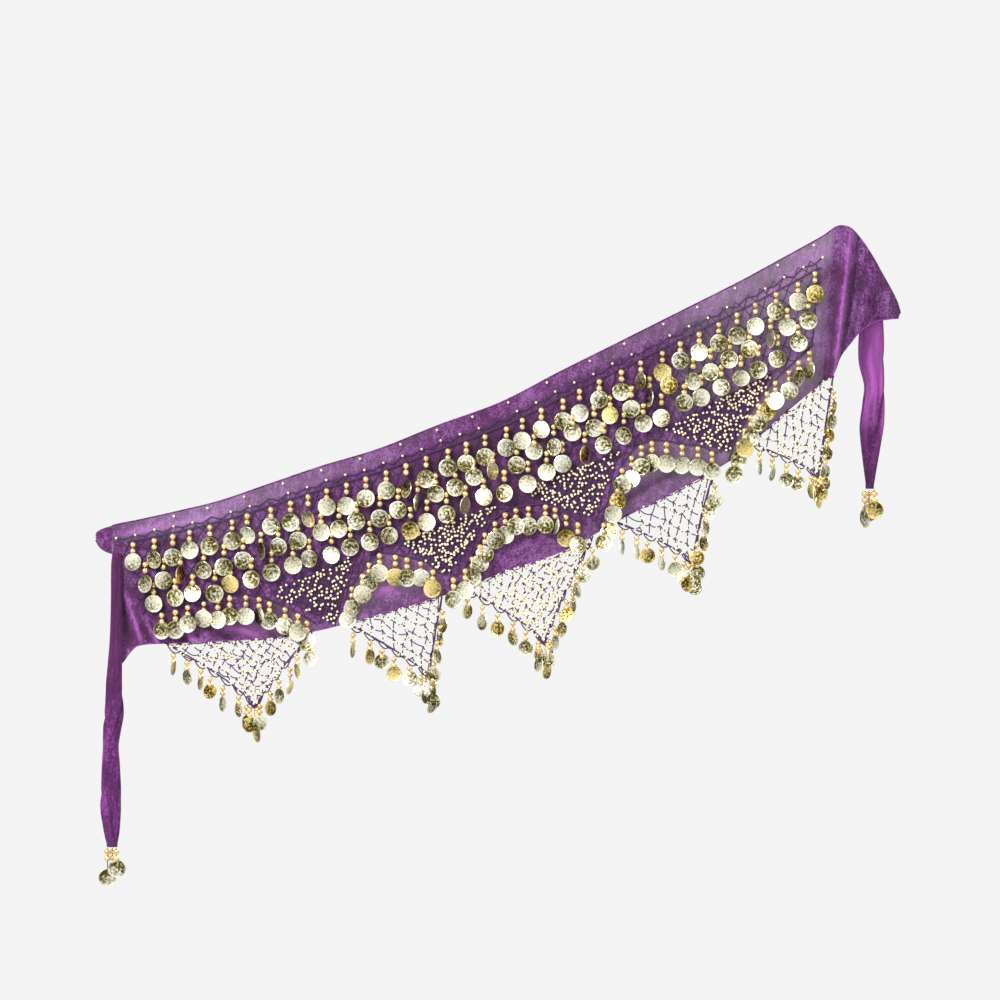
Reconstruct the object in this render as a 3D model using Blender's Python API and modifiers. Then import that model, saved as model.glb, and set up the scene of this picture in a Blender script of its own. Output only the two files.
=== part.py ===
"""A belly dance hip scarf, held up by its two ends so that it hangs on a slope.

A sheer band with two ties carries three rows of coin drops, a scalloped border of drops, and five
crochet nets with their own drops. The frame is in metres, +Z up, the front faces -Y, and the
origin is where a hand holds the rolled left end. The tables are in millimetres from there.
"""
import math
import random

import bmesh
import bpy
import numpy as np
from mathutils import Vector
from mathutils.bvhtree import BVHTree

MM = 0.001
COLLECTION = "belly_dance_hip_scarf"
SEED = 7

# Driving sizes, in millimetres and degrees.
CLOTH_WALL = 1.0
SEAM_GAP = 0.3
COIN_RADIUS = 8.9
COIN_THICK = 1.0
COIN_TURN = 9.0            # most that a coin turns from facing forward
DROP_LENGTH = 22.0         # root of a drop to the middle of its coin
DROP_SPREAD = 0.6          # most that a drop is longer or shorter than that
STAND_OFF = 8.2            # middle of the cloth to the middle of a coin's thickness
NET_STAND_OFF = 5.2        # the same for the drops of a net, from their cord
BEAD_HALF = 2.5            # half width of the two gold beads of a drop, taken together
BEAD_HALF_DEPTH = 1.9
BEAD_DOWN = 5.5            # root of a drop to the middle of its beads
BEAD_OUT = 3.3             # middle of the cloth to the middle of the beads
NET_BEAD_OUT = 2.4         # the same for the drops of a net, from their cord
NECK_HALF = 1.4            # half width of the thread where it meets the coin
NECK_UP = 0.6              # how far above the coin that is
LEAN = 4.4                 # how far a drop stands out sideways from a cord that runs upright
CORD_HEIGHT = 1.8
CORD_DEPTH = 1.4
CORD_MITRE = 0.5           # least cosine that the mitre at a cord's bend is worked out for
ROOT_WIDTH = 2.4
ROOT_FROM_BEND = 1.92      # least distance along the cord from a bend to the middle of a root
NET_WALL = 1.2
NET_STRAND = 1.6
NET_MITRE = 0.45           # least cosine for the corners of the cord round a net
COIN_CLEAR = 18.3          # least distance between two coins
STEM_CLEAR = 10.2          # least distance between a coin and another drop's stem
STEM_DOWN = 9.5            # root of a drop to the place on its stem that those are measured from
TIE_CLEAR = 0.48           # gap between a tie and the cloth, more than a seam's where the cloth curves
RAY_START = 300.0          # well in front of the cloth, or behind it
PROBE_SHARES = (0.2, 0.4, 0.6, 0.8)

# The band, one row for each section: its top and hem points and how far back it lies.
BAND_SECTIONS = [
    # top_x, top_z, hem_x, hem_z, back, steps up to the next section
    (8, 12.9, 9, -127, 1.0, 1),
    (16, 14.9, 18, -121, 0.6, 1),
    (25, 16.6, 26, -110.5, 0.2, 1),
    (36, 18.8, 37, -103.6, 0.0, 3),
    (74.5, 27.4, 74.5, -101.9, 0.0, 3),
    (114, 37.2, 114, -100, 0.0, 3),
    (163, 53.9, 163, -96.8, 0.0, 3),
    (212, 70.6, 212, -89, 0.0, 3),
    (270, 88.2, 270, -73.5, 0.0, 3),
    (329, 111.7, 330, -56, 0.0, 3),
    (388, 133.3, 389, -33, 0.0, 3),
    (447, 163.7, 449, -12, 0.0, 3),
    (506, 193.1, 506, 19.5, 0.0, 3),
    (564.5, 222.5, 563, 48.5, 0.0, 3),
    (623, 251.9, 620, 81.5, 0.0, 2),
    (662.5, 273.4, 657, 115, 0.0, 2),
    (701.7, 295, 694, 146, 0.0, 1),
    (710, 300.5, 700, 150.5, 0.5, 1),
    (719, 306.3, 707, 156.5, 3.6, 1),
    (729, 305.6, 714.5, 161.5, -2.6, 1),
    (739, 297.5, 722, 179, 4.0, 1),
    (751, 281, 732.5, 193, 9.0, 1),
    (762, 262.5, 744, 206, 15.0, 1),
    (771, 247, 758, 213.5, 22.0, 1),
    (778, 234, 770, 216, 29.0, 1),
    (782, 222, 780, 217, 37.0, 1),
    (778, 226, 776, 217, 44.0, 0),
]
BAND_ROWS = (0.0, 0.1, 0.2, 0.36, 0.52, 0.68, 0.84, 1.0)
BAND_DEPTH = 165.0
FRONT_SECTIONS = 18        # the sections up to the upper corner, where x grows steadily

# The rolled left end that turns over the hand: it goes on from the band's upper rows.
ROLL_ROWS = 3
ROLL_SECTIONS = [
    # x, top_z, middle_z, low_z, back
    (1, 10.8, 0.0, -12.6, 0.6),
    (-5, 8.0, 1.0, -8.5, 3.5),
    (-8.3, 5.0, 1.5, -3.5, 8.5),
    (-6, 6.0, 1.0, -5.0, 13.5),
    (0, 7.5, 0.5, -7.5, 16.5),
]

# Soft folds in the band: each runs from one point to another; a minus height stands forward.
FOLDS = [
    # from_x, from_z, to_x, to_z, half_width, height
    (26, -40, 38, -99, 8, -4.5),
    (40, -52, 62, -99, 9, 3.5),
    (66, -70, 112, -96, 10, -4.0),
    (92, -74, 170, -92, 10, 3.0),
    (440, 10, 520, 40, 14, -2.0),
]
FOLD_FADE = 3.0            # a fold fades over a third of its length at each end,
FOLD_START = 0.6           # from this much beyond its end points
WAVE_LENGTH = 190.0
WAVE_HEIGHT = 3.0
WAVE_PHASE = 0.6
WAVE_MOST = 1.3            # most that the wave grows, as a multiple of its height

# Rows of coins: first and last root, and how far below the top edge the roots lie at each end.
COIN_ROWS = [
    # name, from_x, to_x, below_left, below_right, drops
    ("coin_row_top", 27.5, 697.0, 19.5, 29.5, 36),
    ("coin_row_middle", 38.0, 688.4, 41.0, 50.0, 35),
    ("coin_row_lower", 48.5, 679.8, 63.5, 71.5, 34),
]
ROW_END = 5.0              # cord beyond the first and last root

# The scalloped border under the rows, one cord for each scallop, from left to right.
SCALLOPS = [
    ("scallop_1", [(50, -73), (69, -69), (89, -62), (107, -58), (123, -55), (137, -54), (152, -56),
                   (166, -61), (179, -67), (193, -74), (207, -83)]),
    ("scallop_2", [(236, -66), (243, -46), (254, -28), (268, -13), (281, -14), (297, -17), (315, -22),
                   (329, -34)]),
    ("scallop_3", [(337, -41), (352, -30), (365, -8), (378, 16), (396, 30), (417, 33), (435, 35),
                   (449, 30), (460, 21), (473, 14)]),
    ("scallop_4", [(484, 10), (496, 44), (510, 76), (522, 92), (536, 97), (551, 96), (567, 93), (585, 91),
                   (601, 84)]),
    ("scallop_5", [(612, 76), (620, 100), (632, 122), (648, 145), (663, 161), (679, 176), (695, 190)]),
]
SCALLOP_PITCH = 18.0

# Crochet nets under the hem: where they leave the hem, their point, cells along the hem, and
# how far each lower side bows inwards.
NETS = [
    # left_x, right_x, point_x, point_z, cells, left_bow, right_bow
    (62, 203, 148, -161, 10, 7, 2),
    (240, 330, 318, -131, 7, 4, 1),
    (352, 478, 431, -98, 9, 7, 2),
    (503, 597, 576, -19, 7, 5, 2),
    (636, 713, 699, 66, 7, 2, 0),
]
NET_PITCH = 18.3

# The ties, one row for each level, from the top down.
TIE_LEFT = [
    # z, left_x, right_x, half_depth
    (-14, 8, 16.5, 2.0),
    (-30, 7, 17.4, 2.2),
    (-60, 6.9, 17.6, 2.6),
    (-99, 5.9, 17.6, 3.2),
    (-122, 4, 17.6, 3.6),
    (-140, 2, 17.6, 3.8),
    (-158, 1, 18.5, 3.6),
    (-173, 0, 19.1, 3.4),
    (-190, -0.5, 16, 4.0),
    (-204, -1, 14.2, 4.2),
    (-222, -2, 15.7, 4.2),
    (-246, -2.9, 16.7, 4.0),
    (-266, -2.9, 16.2, 3.8),
    (-286, 0, 15, 3.4),
    (-302, 3.5, 12.5, 2.8),
]
TIE_RIGHT = [
    (240, 747, 761, 2.0),
    (222, 743, 764, 2.6),
    (200, 741, 765.4, 3.2),
    (175, 741, 766, 4.2),
    (151, 746.5, 766.4, 4.8),
    (135, 745, 766.4, 5.0),
    (112, 742, 766, 5.0),
    (97, 742.5, 763.4, 4.8),
    (75, 745, 759.5, 4.2),
    (58, 747.3, 756.5, 3.2),
    (49, 748.3, 755, 2.6),
]
TIE_POINTS = 10
TIE_MOUTH = 70.0           # the gap down the back of a gathered tie, in degrees

# Coin tassels under the ties.
TASSEL_DROPS = [
    # across, depth, length
    (-4.6, 3.0, 29.0),
    (0.0, 8.4, 22.0),
    (4.6, -2.6, 20.0),
]
TASSEL_HALF = 6.6

MATERIALS = {
    "chiffon": ((0.30, 0.08, 0.42, 1.0), 0.55, 0.0),
    "yarn": ((0.09, 0.04, 0.22, 1.0), 0.85, 0.0),
    "coin_gold": ((0.86, 0.76, 0.42, 1.0), 0.28, 1.0),
}


def clear_scene():
    """Removes the scene's objects; returns a new collection for the part."""
    for obj in list(bpy.data.objects):
        bpy.data.objects.remove(obj)
    made = bpy.data.collections.new(COLLECTION)
    bpy.context.scene.collection.children.link(made)
    return made


def make_material(name):
    """A finish of the slot's colour, roughness and metallic value."""
    colour, roughness, metallic = MATERIALS[name]
    material = bpy.data.materials.new(name)
    material.use_nodes = True
    shader = material.node_tree.nodes["Principled BSDF"]
    shader.inputs["Base Color"].default_value = colour
    shader.inputs["Roughness"].default_value = roughness
    shader.inputs["Metallic"].default_value = metallic
    return material


def add_object(made, name, shape, material, wall=0.0):
    """Makes an object of a bmesh in millimetres; an open surface gets its wall here."""
    bmesh.ops.recalc_face_normals(shape, faces=shape.faces)
    bmesh.ops.scale(shape, vec=(MM, MM, MM), verts=shape.verts)
    mesh = bpy.data.meshes.new(name)
    shape.to_mesh(mesh)
    shape.free()
    mesh.materials.append(material)
    obj = bpy.data.objects.new(name, mesh)
    made.objects.link(obj)
    if wall:
        solidify = obj.modifiers.new("wall", "SOLIDIFY")
        solidify.thickness = wall * MM
        solidify.offset = 0.0


def smooth_step(t):
    t = min(1.0, max(0.0, t))
    return t * t * (3 - 2 * t)


def smooth_path(rows, steps):
    """A Catmull-Rom curve through the rows, with steps[i] points from row i to the next."""
    rows = np.array(rows, dtype=float)
    ends = np.vstack([2 * rows[0] - rows[1], rows, 2 * rows[-1] - rows[-2]])
    found = []
    for i in range(len(rows) - 1):
        a, b, c, d = ends[i:i + 4]
        for k in range(steps[i]):
            t = k / steps[i]
            found.append(0.5 * (2 * b + (c - a) * t + (2 * a - 5 * b + 4 * c - d) * t ** 2
                                + (3 * b - a - 3 * c + d) * t ** 3))
    found.append(rows[-1])
    return found


def lengths_of(path):
    """Distance along a line of (x, z) points to each of them."""
    steps = np.diff(np.array(path, dtype=float), axis=0)
    return np.concatenate([[0.0], np.cumsum(np.hypot(steps[:, 0], steps[:, 1]))])


def at_length(path, total, place):
    path = np.array(path, dtype=float)
    return tuple(float(np.interp(place, total, path[:, i])) for i in range(path.shape[1]))


def spread(path, pitch):
    """Distances along a path of evenly spread roots, half a pitch in from both ends."""
    length = lengths_of(path)[-1]
    count = round(length / pitch)
    return [(i + 0.5) * length / count for i in range(count)]


def top_z(x):
    """Height of the band's top edge over x."""
    front = BAND_SECTIONS[:FRONT_SECTIONS]
    return float(np.interp(x, [s[0] for s in front], [s[1] for s in front]))


def fold_depth(x, z):
    """How far back the cloth lies at a point: a slow wave that grows downwards, and the folds."""
    down = min(WAVE_MOST, max(0.0, (top_z(x) - z) / BAND_DEPTH))
    depth = WAVE_HEIGHT * down * math.sin(2 * math.pi * x / WAVE_LENGTH + WAVE_PHASE)
    here = Vector((x, z))
    for from_x, from_z, to_x, to_z, half_width, height in FOLDS:
        start = Vector((from_x, from_z))
        run = Vector((to_x, to_z)) - start
        share = (here - start).dot(run) / run.length_squared
        aside = (here - start).cross(run) / run.length
        fade_in = smooth_step(share * FOLD_FADE + FOLD_START)
        ends = fade_in * smooth_step((1 - share) * FOLD_FADE + FOLD_START)
        depth += height * ends * math.exp(-((aside / half_width) ** 2))
    return depth


def sheet_of(grid):
    """A bmesh with one vertex for each grid point and a face between neighbours."""
    sheet = bmesh.new()
    lines = [[sheet.verts.new(place) for place in line] for line in grid]
    for a, b in zip(lines, lines[1:]):
        for i in range(len(a) - 1):
            sheet.faces.new((a[i], b[i], b[i + 1], a[i + 1]))
    return sheet, lines


def band_grid():
    """The middle of the band's wall: a line of points from the top edge down for each column."""
    columns = smooth_path([s[:5] for s in BAND_SECTIONS], [s[5] for s in BAND_SECTIONS])
    grid = []
    for top_x, top, hem_x, hem, back in columns:
        line = []
        for share in BAND_ROWS:
            x = top_x + (hem_x - top_x) * share
            z = top + (hem - top) * share
            line.append((x, back + fold_depth(x, z), z))
        grid.append(line)
    return grid


def make_band(made, material):
    """The band with its rolled left end; returns its middle surface and its hem."""
    grid = band_grid()
    sheet, lines = sheet_of(grid)
    edge = lines[0][:ROLL_ROWS]
    for x, high, middle, low, back in ROLL_SECTIONS:
        fresh = [sheet.verts.new((x, back, z)) for z in (high, middle, low)]
        for i in range(ROLL_ROWS - 1):
            sheet.faces.new((fresh[i], edge[i], edge[i + 1], fresh[i + 1]))
        edge = fresh
    cloth = BVHTree.FromBMesh(sheet)
    add_object(made, "band", sheet, material, CLOTH_WALL)
    return cloth, np.array([line[-1] for line in grid])


def cloth_y(cloth, x, z, from_behind=False):
    """Depth of the cloth's middle surface at (x, z), or None where there is no cloth."""
    side = 1 if from_behind else -1
    hit = cloth.ray_cast(Vector((x, side * RAY_START, z)), Vector((0, -side, 0)))[0]
    return None if hit is None else hit.y


def cord_stations(path, places):
    """(x, z, starts_a_root) along the cord: its bends, and two stations for each root."""
    total = lengths_of(path)
    marks = [(bend, False) for bend in total]
    for place in places:
        marks += [(place - ROOT_WIDTH / 2, True), (place + ROOT_WIDTH / 2, False)]
    return [at_length(path, total, place) + (starts,) for place, starts in sorted(marks)]


def cord_depths(cloth, stations):
    """Depth of each station's middle, so that the straight runs between clear the cloth."""
    reach = CLOTH_WALL / 2 + SEAM_GAP + CORD_DEPTH / 2
    flat = [(x, z) for x, z, _ in stations]
    depths = []
    for x, z in flat:
        found = cloth_y(cloth, x, z)
        depths.append((found if found is not None else fold_depth(x, z)) - reach)
    for i in range(len(flat) - 1):
        for share in PROBE_SHARES:
            x = flat[i][0] + (flat[i + 1][0] - flat[i][0]) * share
            z = flat[i][1] + (flat[i + 1][1] - flat[i][1]) * share
            found = cloth_y(cloth, x, z)
            if found is None:
                continue
            over = depths[i] + (depths[i + 1] - depths[i]) * share - (found - reach)
            if over > 0:
                depths[i] -= over
                depths[i + 1] -= over
    return depths


def cord_ring(stations, depths, i):
    """The four corners of the cord's section at a station, mitred where the cord turns."""
    here = Vector(stations[i][:2])
    steps = []
    if i > 0:
        steps.append((here - Vector(stations[i - 1][:2])).normalized())
    if i < len(stations) - 1:
        steps.append((Vector(stations[i + 1][:2]) - here).normalized())
    run = sum(steps, Vector((0, 0))).normalized()
    up = Vector((-run.y, run.x))
    up *= CORD_HEIGHT / 2 / max(CORD_MITRE, run.dot(steps[0]))
    near, far = depths[i] - CORD_DEPTH / 2, depths[i] + CORD_DEPTH / 2
    return [Vector((here.x + up.x * s, y, here.y + up.y * s)) for s, y in
            ((1, near), (1, far), (-1, far), (-1, near))]


def drop_rings(root, bead_depth, coin_depth, length, turn):
    """Sections of a drop from its beads down: a widening stem, then an eight-sided coin."""
    wide = Vector((math.cos(turn), math.sin(turn), 0))
    thin = Vector((-math.sin(turn), math.cos(turn), 0))
    slant = COIN_RADIUS * math.sin(math.pi / 8)
    flat = COIN_RADIUS * math.cos(math.pi / 8)
    x, z = root
    half = COIN_THICK / 2
    levels = [
        # depth, height over the coin's middle, half width, half thickness
        (bead_depth, length - BEAD_DOWN, BEAD_HALF, BEAD_HALF_DEPTH),
        (coin_depth, flat + NECK_UP, NECK_HALF, half),
        (coin_depth, slant, flat, half),
        (coin_depth, -slant, flat, half),
        (coin_depth, -flat, slant, half),
    ]
    rings = []
    for y, height, half_width, half_thick in levels:
        middle = Vector((x, y, z - length + height))
        rings.append([middle + wide * (half_width * a) + thin * (half_thick * b)
                      for a, b in ((-1, -1), (1, -1), (1, 1), (-1, 1))])
    return rings


def loft(shape, start, rings):
    """Walls from a loop of four vertices through each ring, with an end over the last."""
    loop = start
    for ring in rings:
        fresh = [shape.verts.new(place) for place in ring]
        for i in range(4):
            j = (i + 1) % 4
            shape.faces.new((loop[i], loop[j], fresh[j], fresh[i]))
        loop = fresh
    shape.faces.new(loop)


def make_fringe(made, name, material, stations, depths, drops):
    """One body: a cord through the stations with a drop grown from the underside of each root."""
    shape = bmesh.new()
    loops = [[shape.verts.new(place) for place in cord_ring(stations, depths, i)]
             for i in range(len(stations))]
    waiting = iter(drops)
    for i, (a, b) in enumerate(zip(loops, loops[1:])):
        for j, k in ((0, 1), (1, 2), (3, 0)):
            shape.faces.new((a[j], a[k], b[k], b[j]))
        if stations[i][2]:
            loft(shape, (a[3], b[3], b[2], a[2]), next(waiting))
        else:
            shape.faces.new((a[2], a[3], b[3], b[2]))
    shape.faces.new(loops[0])
    shape.faces.new(list(reversed(loops[-1])))
    add_object(made, name, shape, material)


def is_clear(root, length, placed):
    """Whether a drop here keeps its coin and stem away from the drops placed so far."""
    coin = Vector((root[0], root[1] - length))
    stem = Vector((root[0], root[1] - STEM_DOWN))
    for other_coin, other_stem in placed:
        if (coin - other_coin).length < COIN_CLEAR:
            return False
        if min((coin - other_stem).length, (stem - other_coin).length) < STEM_CLEAR:
            return False
    return True


def keep_clear(path, places, placed, chance):
    """(place, root, length, turn) of each drop that keeps clear of the earlier ones."""
    total = lengths_of(path)
    kept = []
    for place in places:
        nearest = int(np.argmin(np.abs(total - place)))
        if abs(place - total[nearest]) < ROOT_FROM_BEND:
            place = total[nearest] + math.copysign(ROOT_FROM_BEND, place - total[nearest])
        x, z = at_length(path, total, place)
        step = np.subtract(at_length(path, total, place + 1), at_length(path, total, place - 1))
        root = (x + LEAN * step[1] / math.hypot(*step), z)
        length = DROP_LENGTH + chance.uniform(-DROP_SPREAD, DROP_SPREAD)
        turn = math.radians(chance.uniform(-COIN_TURN, COIN_TURN))
        if is_clear(root, length, placed):
            kept.append((place, root, length, turn))
            placed.append((Vector((root[0], z - length)), Vector((root[0], z - STEM_DOWN))))
    return kept


def hang_on_cloth(made, name, material, cloth, path, places, placed, chance):
    """A cord on the cloth with its drops."""
    kept = keep_clear(path, places, placed, chance)
    stations = cord_stations(path, [place for place, *_ in kept])
    drops = []
    for _, (x, z), length, turn in kept:
        levels = []
        for down in (BEAD_DOWN, length - COIN_RADIUS, length, length + COIN_RADIUS):
            found = cloth_y(cloth, x, z - down)
            levels.append(found if found is not None else fold_depth(x, z - down))
        drops.append(drop_rings((x, z), levels[0] - BEAD_OUT, min(levels[1:]) - STAND_OFF, length, turn))
    make_fringe(made, name, material, stations, cord_depths(cloth, stations), drops)


def make_rows(made, material, cloth, placed, chance):
    """The rows of coins: a cord that bends between every second drop."""
    for name, from_x, to_x, below_left, below_right, count in COIN_ROWS:
        pitch = (to_x - from_x) / (count - 1)
        bends = [from_x + pitch * (i - 0.5) for i in range(2, count, 2)]
        path = []
        for x in [from_x - ROW_END] + bends + [to_x + ROW_END]:
            below = np.interp(x, (from_x, to_x), (below_left, below_right))
            path.append((float(x), top_z(x) - float(below)))
        places = np.interp(np.linspace(from_x, to_x, count), [p[0] for p in path], lengths_of(path))
        hang_on_cloth(made, name, material, cloth, path, places, placed, chance)


def make_scallops(made, material, cloth, placed, chance):
    for name, path in SCALLOPS:
        hang_on_cloth(made, name, material, cloth, path, spread(path, SCALLOP_PITCH), placed, chance)


def hem_at(hem, x):
    """(y, z) of the hem's middle over x."""
    return float(np.interp(x, hem[:, 0], hem[:, 1])), float(np.interp(x, hem[:, 0], hem[:, 2]))


def net_top(hem, left_x, right_x, cells):
    """The net's upper knots: under the hem, so that the straight runs between clear it too."""
    line = []
    for i in range(cells + 1):
        x = left_x + (right_x - left_x) * i / cells
        y, z = hem_at(hem, x)
        line.append(Vector((x, y, z - SEAM_GAP)))
    for a, b in zip(line, line[1:]):
        for share in PROBE_SHARES:
            here = a.lerp(b, share)
            over = here.z + SEAM_GAP - hem_at(hem, here.x)[1]
            if over > 0:
                a.z -= over
                b.z -= over
    return line


def net_knots(hem, left_x, right_x, point_x, point_z, cells, left_bow, right_bow):
    """Knots of a net, a line for each level: a fan of straight rows with bowed sides."""
    top = net_top(hem, left_x, right_x, cells)
    levels = [top]
    for level in range(1, cells + 1):
        down = level / cells
        bow = 4 * down * (1 - down)
        line = []
        for i in range(cells - level + 1):
            share = i / (cells - level) if level < cells else 0.5
            place = share * cells
            first = min(int(place), cells - 1)
            start = top[first].lerp(top[first + 1], place - first)
            x = start.x + (point_x - start.x) * down + bow * (left_bow * (1 - share) - right_bow * share)
            line.append(Vector((x, hem_at(hem, x)[0], start.z + (point_z - start.z) * down)))
        levels.append(line)
    return levels


def make_net(made, name, material, levels):
    """A plate over the knots with a hole through each of its cells."""
    sheet = bmesh.new()
    knots = [[sheet.verts.new(place) for place in line] for line in levels]
    for i in range(len(knots[0]) - 1):
        sheet.faces.new((knots[0][i], knots[1][i], knots[0][i + 1]))
    for level in range(1, len(knots) - 1):
        for i in range(len(knots[level]) - 1):
            side = (knots[level + 1][i], knots[level][i + 1])
            sheet.faces.new((knots[level][i], *side, knots[level - 1][i + 1]))
    bmesh.ops.recalc_face_normals(sheet, faces=sheet.faces)
    cells = list(sheet.faces)
    bmesh.ops.inset_individual(sheet, faces=cells, thickness=NET_STRAND / 2, use_even_offset=True)
    bmesh.ops.delete(sheet, geom=cells, context="FACES_ONLY")
    add_object(made, name, sheet, material, NET_WALL)


def net_border(levels):
    """The path under a net's two lower sides, at a seam's gap from its plate."""
    left = [line[0] for line in levels[:-1]]
    right = [line[-1] for line in reversed(levels[:-1])]
    corners = left + [levels[-1][0]] + right
    away = SEAM_GAP + CORD_HEIGHT / 2
    path = []
    for i, here in enumerate(corners):
        before = corners[max(i - 1, 0)]
        after = corners[min(i + 1, len(corners) - 1)]
        first = Vector((here.x - before.x, here.z - before.z))
        second = Vector((after.x - here.x, after.z - here.z))
        run = (first.normalized() + second.normalized()).normalized()
        stretch = max(NET_MITRE, run.dot((second if i == 0 else first).normalized()))
        path.append((here.x + run.y * away / stretch, here.z - run.x * away / stretch))
    return path


def make_nets(made, yarn, gold, hem, placed, chance):
    """Each net, and the cord with drops round its two lower sides."""
    for number, shape in enumerate(NETS, start=1):
        levels = net_knots(hem, *shape)
        make_net(made, f"net_{number}", yarn, levels)
        border = net_border(levels)
        point = len(border) // 2
        places = spread(border[:point + 1], NET_PITCH)
        places += [lengths_of(border)[point] + place for place in spread(border[point:], NET_PITCH)]
        kept = keep_clear(border, places, placed, chance)
        stations = cord_stations(border, [place for place, *_ in kept])
        depths = [hem_at(hem, x)[0] for x, _, _ in stations]
        drops = []
        for place, root, length, turn in kept:
            y = hem_at(hem, at_length(border, lengths_of(border), place)[0])[0]
            drops.append(drop_rings(root, y - NET_BEAD_OUT, y - NET_STAND_OFF, length, turn))
        make_fringe(made, f"net_{number}_drops", gold, stations, depths, drops)


def seat_depths(cloth, table, side):
    """For each level of a tie, the depth of the cloth it hangs before (-1) or behind (+1)."""
    depths = []
    for z, left_x, right_x, _ in table:
        found = []
        for share in (0.0, *PROBE_SHARES, 1.0):
            y = cloth_y(cloth, left_x + (right_x - left_x) * share, z, from_behind=side > 0)
            if y is not None:
                found.append(y)
        if len(found) > 2:
            depths.append(max(found) if side > 0 else min(found))
        else:
            depths.append(depths[-1])
    if side > 0:
        return [max(depths)] * len(depths)
    return depths


def make_tie(made, name, material, cloth, table, side):
    """A gathered tie: a sheet bent to an open tube, its mouth at the back; returns its low end."""
    mouth = math.radians(TIE_MOUTH)
    grid = []
    seats = seat_depths(cloth, table, side)
    for (z, left_x, right_x, half_depth), seat in zip(table, seats):
        middle = seat + side * (CLOTH_WALL + TIE_CLEAR + half_depth)
        line = []
        for k in range(TIE_POINTS + 1):
            angle = math.pi / 2 + mouth / 2 + (2 * math.pi - mouth) * k / TIE_POINTS
            x = (left_x + right_x) / 2 + (right_x - left_x) / 2 * math.cos(angle)
            line.append((x, middle + half_depth * math.sin(angle), z))
        grid.append(line)
    sheet, _ = sheet_of(grid)
    add_object(made, name, sheet, material, CLOTH_WALL)
    z, left_x, right_x, _ = table[-1]
    return (left_x + right_x) / 2, middle, z


def make_tassel(made, name, material, low_end):
    """Three drops on a short head, at a seam's gap under a tie."""
    x, y, z = low_end
    z -= SEAM_GAP + CORD_HEIGHT / 2
    path = [(x - TASSEL_HALF, z), (x + TASSEL_HALF, z)]
    stations = cord_stations(path, [TASSEL_HALF + across for across, _, _ in TASSEL_DROPS])
    drops = []
    for across, deep, length in TASSEL_DROPS:
        drops.append(drop_rings((x + across, z), y + deep, y + deep, length, 0.0))
    make_fringe(made, name, material, stations, [y] * len(stations), drops)


def main():
    made = clear_scene()
    chiffon, yarn, gold = (make_material(name) for name in MATERIALS)
    chance = random.Random(SEED)
    placed = []
    cloth, hem = make_band(made, chiffon)
    make_rows(made, gold, cloth, placed, chance)
    make_scallops(made, gold, cloth, placed, chance)
    make_nets(made, yarn, gold, hem, placed, chance)
    make_tassel(made, "tassel_left", gold, make_tie(made, "tie_left", chiffon, cloth, TIE_LEFT, -1))
    make_tassel(made, "tassel_right", gold, make_tie(made, "tie_right", chiffon, cloth, TIE_RIGHT, 1))


main()
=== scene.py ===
"""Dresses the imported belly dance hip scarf: sheer cloth, crochet thread, beads and coins.

Every length in the tables is in millimetres from the left hold, as in the solids; meshes are made
in metres. The front faces -Y, +Z is up.
"""
import math

import bpy
import numpy as np
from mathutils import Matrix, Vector


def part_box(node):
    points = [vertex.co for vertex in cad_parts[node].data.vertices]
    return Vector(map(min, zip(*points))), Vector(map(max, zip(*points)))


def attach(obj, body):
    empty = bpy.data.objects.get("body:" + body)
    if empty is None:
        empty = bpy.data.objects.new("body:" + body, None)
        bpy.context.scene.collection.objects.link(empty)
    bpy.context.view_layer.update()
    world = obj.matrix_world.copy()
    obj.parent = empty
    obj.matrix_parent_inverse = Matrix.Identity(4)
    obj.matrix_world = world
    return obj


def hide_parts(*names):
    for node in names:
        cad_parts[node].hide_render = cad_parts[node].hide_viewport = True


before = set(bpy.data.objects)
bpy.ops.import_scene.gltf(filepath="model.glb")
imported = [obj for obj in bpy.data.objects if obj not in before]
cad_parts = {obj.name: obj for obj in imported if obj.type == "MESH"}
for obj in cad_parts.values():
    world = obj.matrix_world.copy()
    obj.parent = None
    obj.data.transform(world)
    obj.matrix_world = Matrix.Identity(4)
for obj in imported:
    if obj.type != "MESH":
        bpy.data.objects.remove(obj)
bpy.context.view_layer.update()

bl_info = {
    "name": "Belly dance hip scarf",
    "version": (1, 0, 0),
    "blender": (4, 5, 0),
    "location": "View3D > Sidebar > Hip Scarf",
    "description": "Builds a hanging coin hip scarf piece by piece",
    "category": "Add Mesh",
}

MM = 0.001

# The solids' own sizes, which the pieces here follow.
SEED = 7
DROP_LENGTH = 22.0
ROW_JITTER = 2.5           # how unevenly the rows' drops hang
EDGE_JITTER = 2.2          # the same for the scallops and the nets
POINT_PLACES = (-3.5, 0.0, 3.5)
POINT_LONGER = (3.0, 8.0, 4.0)
STAND_OFF = 8.2
NET_STAND_OFF = 5.2
NET_BEAD_OUT = 2.4
BEAD_OUT = 3.3
LEAN = 4.4
ROW_END = 5.0
SEAM_GAP = 0.3
CORD_HALF = 0.9
NET_MITRE = 0.45
BAND_DEPTH = 165.0
WAVE_LENGTH = 190.0
WAVE_HEIGHT = 3.0
WAVE_PHASE = 0.6
WAVE_MOST = 1.3
FOLD_FADE = 3.0            # a fold fades over a third of its length at each end,
FOLD_START = 0.6           # from this much beyond its end points

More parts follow.
